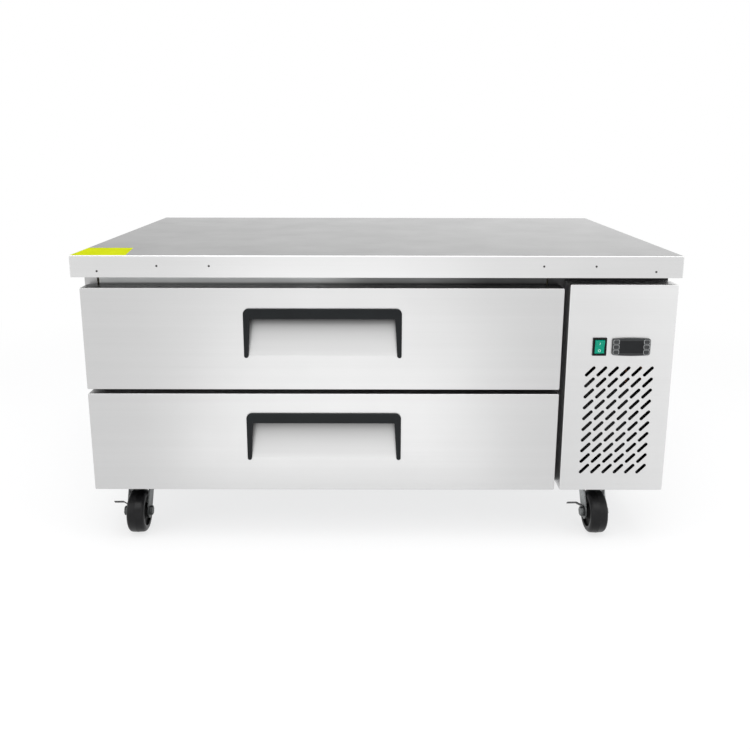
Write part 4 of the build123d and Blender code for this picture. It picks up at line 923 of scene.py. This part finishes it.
hub_side = [
    (tread_half - web_step, rim_radius),
    (tread_half - web_step, rim_radius - web_edge),
    (tread_half - dish_depth, rim_radius - dish_edge),
    (tread_half - dish_depth, hub_radius + boss_foot),
    (tread_half - dish_depth + boss_foot_rise, hub_radius + boss_foot_round),
    (tread_half - boss_step, hub_radius),
    (hub_half - boss_round, hub_radius - boss_shoulder),
    (hub_half, hub_radius - boss_face),
    (hub_half, bore_radius + bore_round),
    (hub_half - bore_round, bore_radius),
]
seam = [(seam_half, wheel_radius - seam_high), (0, wheel_radius), (-seam_half, wheel_radius - seam_high)]
tyre = lathe(mirrored(tread_side) + seam[::-1] + tread_side)
hub = lathe(mirrored(hub_side) + hub_side)

rolling = {joint["name"]: Vector(joint["axis"]) for joint in frame["joints"]}
for corner in ("front_left", "front_right", "rear_left", "rear_right"):
    low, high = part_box(f"{corner}_caster_wheel")
    axle = rolling[f"{corner}_roll"]
    at_axle = Matrix.Translation((low + high) / 2) @ Matrix.Rotation(atan2(axle.y, axle.x), 4, "Z")
    for master, name, material in ((tyre, "tyre", tread_rubber), (hub, "hub", hub_plastic)):
        twin = placed_copy(master, at_axle)
        finish_piece(twin, f"{corner}_{name}", material, f"{corner}_wheel", turned_smooth_angle)
        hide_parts(f"{corner}_caster_wheel")
    dress(plated_zinc, f"{corner}_caster_fork")
bpy.data.objects.remove(tyre)
bpy.data.objects.remove(hub)

# Worktop: one heavy stainless sheet folded down on all sides, with welded and ground corners, held
# by six small screws through its front face. The flat top carries painted shade that makes it darker.
top_low, top_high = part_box("worktop")
bend_radius = 0.0025
bend_tone_start = 0.0008
bend_tone_end = 0.0001
flat_left_painted_shade = 0.302
flat_right_painted_shade = 0.465
rear_painted_light = 0.06


def worktop_painted_shade(tree, place):
    """1 on the folded edges; painted shade makes the flat top darker, and a little more so on the left and at
    the front.
    """
    parts = add_node(tree, "ShaderNodeSeparateXYZ", {0: place})
    across = reached(tree, parts.outputs["X"], top_low.x, top_high.x, flat_left_painted_shade, flat_right_painted_shade)
    back = reached(tree, parts.outputs["Y"], top_low.y, top_high.y, 0.0, rear_painted_light)
    flat = reckoned(tree, "ADD", across, back)
    return reached(tree, parts.outputs["Z"], top_high.z - bend_tone_start, top_high.z - bend_tone_end,
                   1.0, flat)


top_steel = brushed_steel("top_steel", along_x, (0.66, 0.66, 0.66), (0.70, 0.70, 0.70), 0.34, 0.42,
                          tone=worktop_painted_shade)
dress(top_steel, "worktop")

# the screws, sunk flush in the front face
screw_dark = moulded("screw_dark", (0.05, 0.05, 0.05), (0.09, 0.09, 0.09), 0.35, 0.5, metallic=1.0)
screw_radius = 0.0023
screw_head = 0.0007
low_screw_inset = 0.0587
low_screw_drop = 0.0346
high_screw_insets = (0.1885, 0.3015)
high_screw_drop = 0.023
facing_front = Matrix.Rotation(radians(90), 4, "X")
screw_spots = [(low_screw_inset, low_screw_drop)] + [(inset, high_screw_drop) for inset in high_screw_insets]
screw_places = []
for side in (-1, 1):
    for inset, drop in screw_spots:
        screw_place = (side * (top_high.x - inset), top_low.y + screw_head, top_high.z - drop)
        screw_places.append(Matrix.Translation(screw_place) @ facing_front)
fascia_screws = copies_joined(screw_master(screw_radius, screw_head), screw_places)
finish_piece(fascia_screws, "fascia_screws", screw_dark, "cabinet")
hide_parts("worktop_screws")

# the strip of yellow protective film that is left on the front left corner, up to the bend
film_yellow = moulded("film_yellow", (0.48, 0.53, 0.010), (0.54, 0.59, 0.016), 0.5, 0.6, pebble=60.0,
                      depth=0.0, shine=0.0)
film_front_length = 0.120
film_rear_length = 0.103
film_width = 0.118
film_thick = 0.00006
film_left = top_low.x + bend_radius
film_front = top_low.y + bend_radius
film_middle = (film_left + film_front_length / 2, film_front + film_width / 2, top_high.z)
film = flat_outline(film_front_length, film_width, film_middle, lying=True)
pick_points(film, lambda place: place.x > film_middle[0] and place.y > film_middle[1])
bpy.ops.transform.translate(value=(film_rear_length - film_front_length, 0, 0))
thicken(film, film_thick)
finish_piece(film, "protective_film", film_yellow, "cabinet")
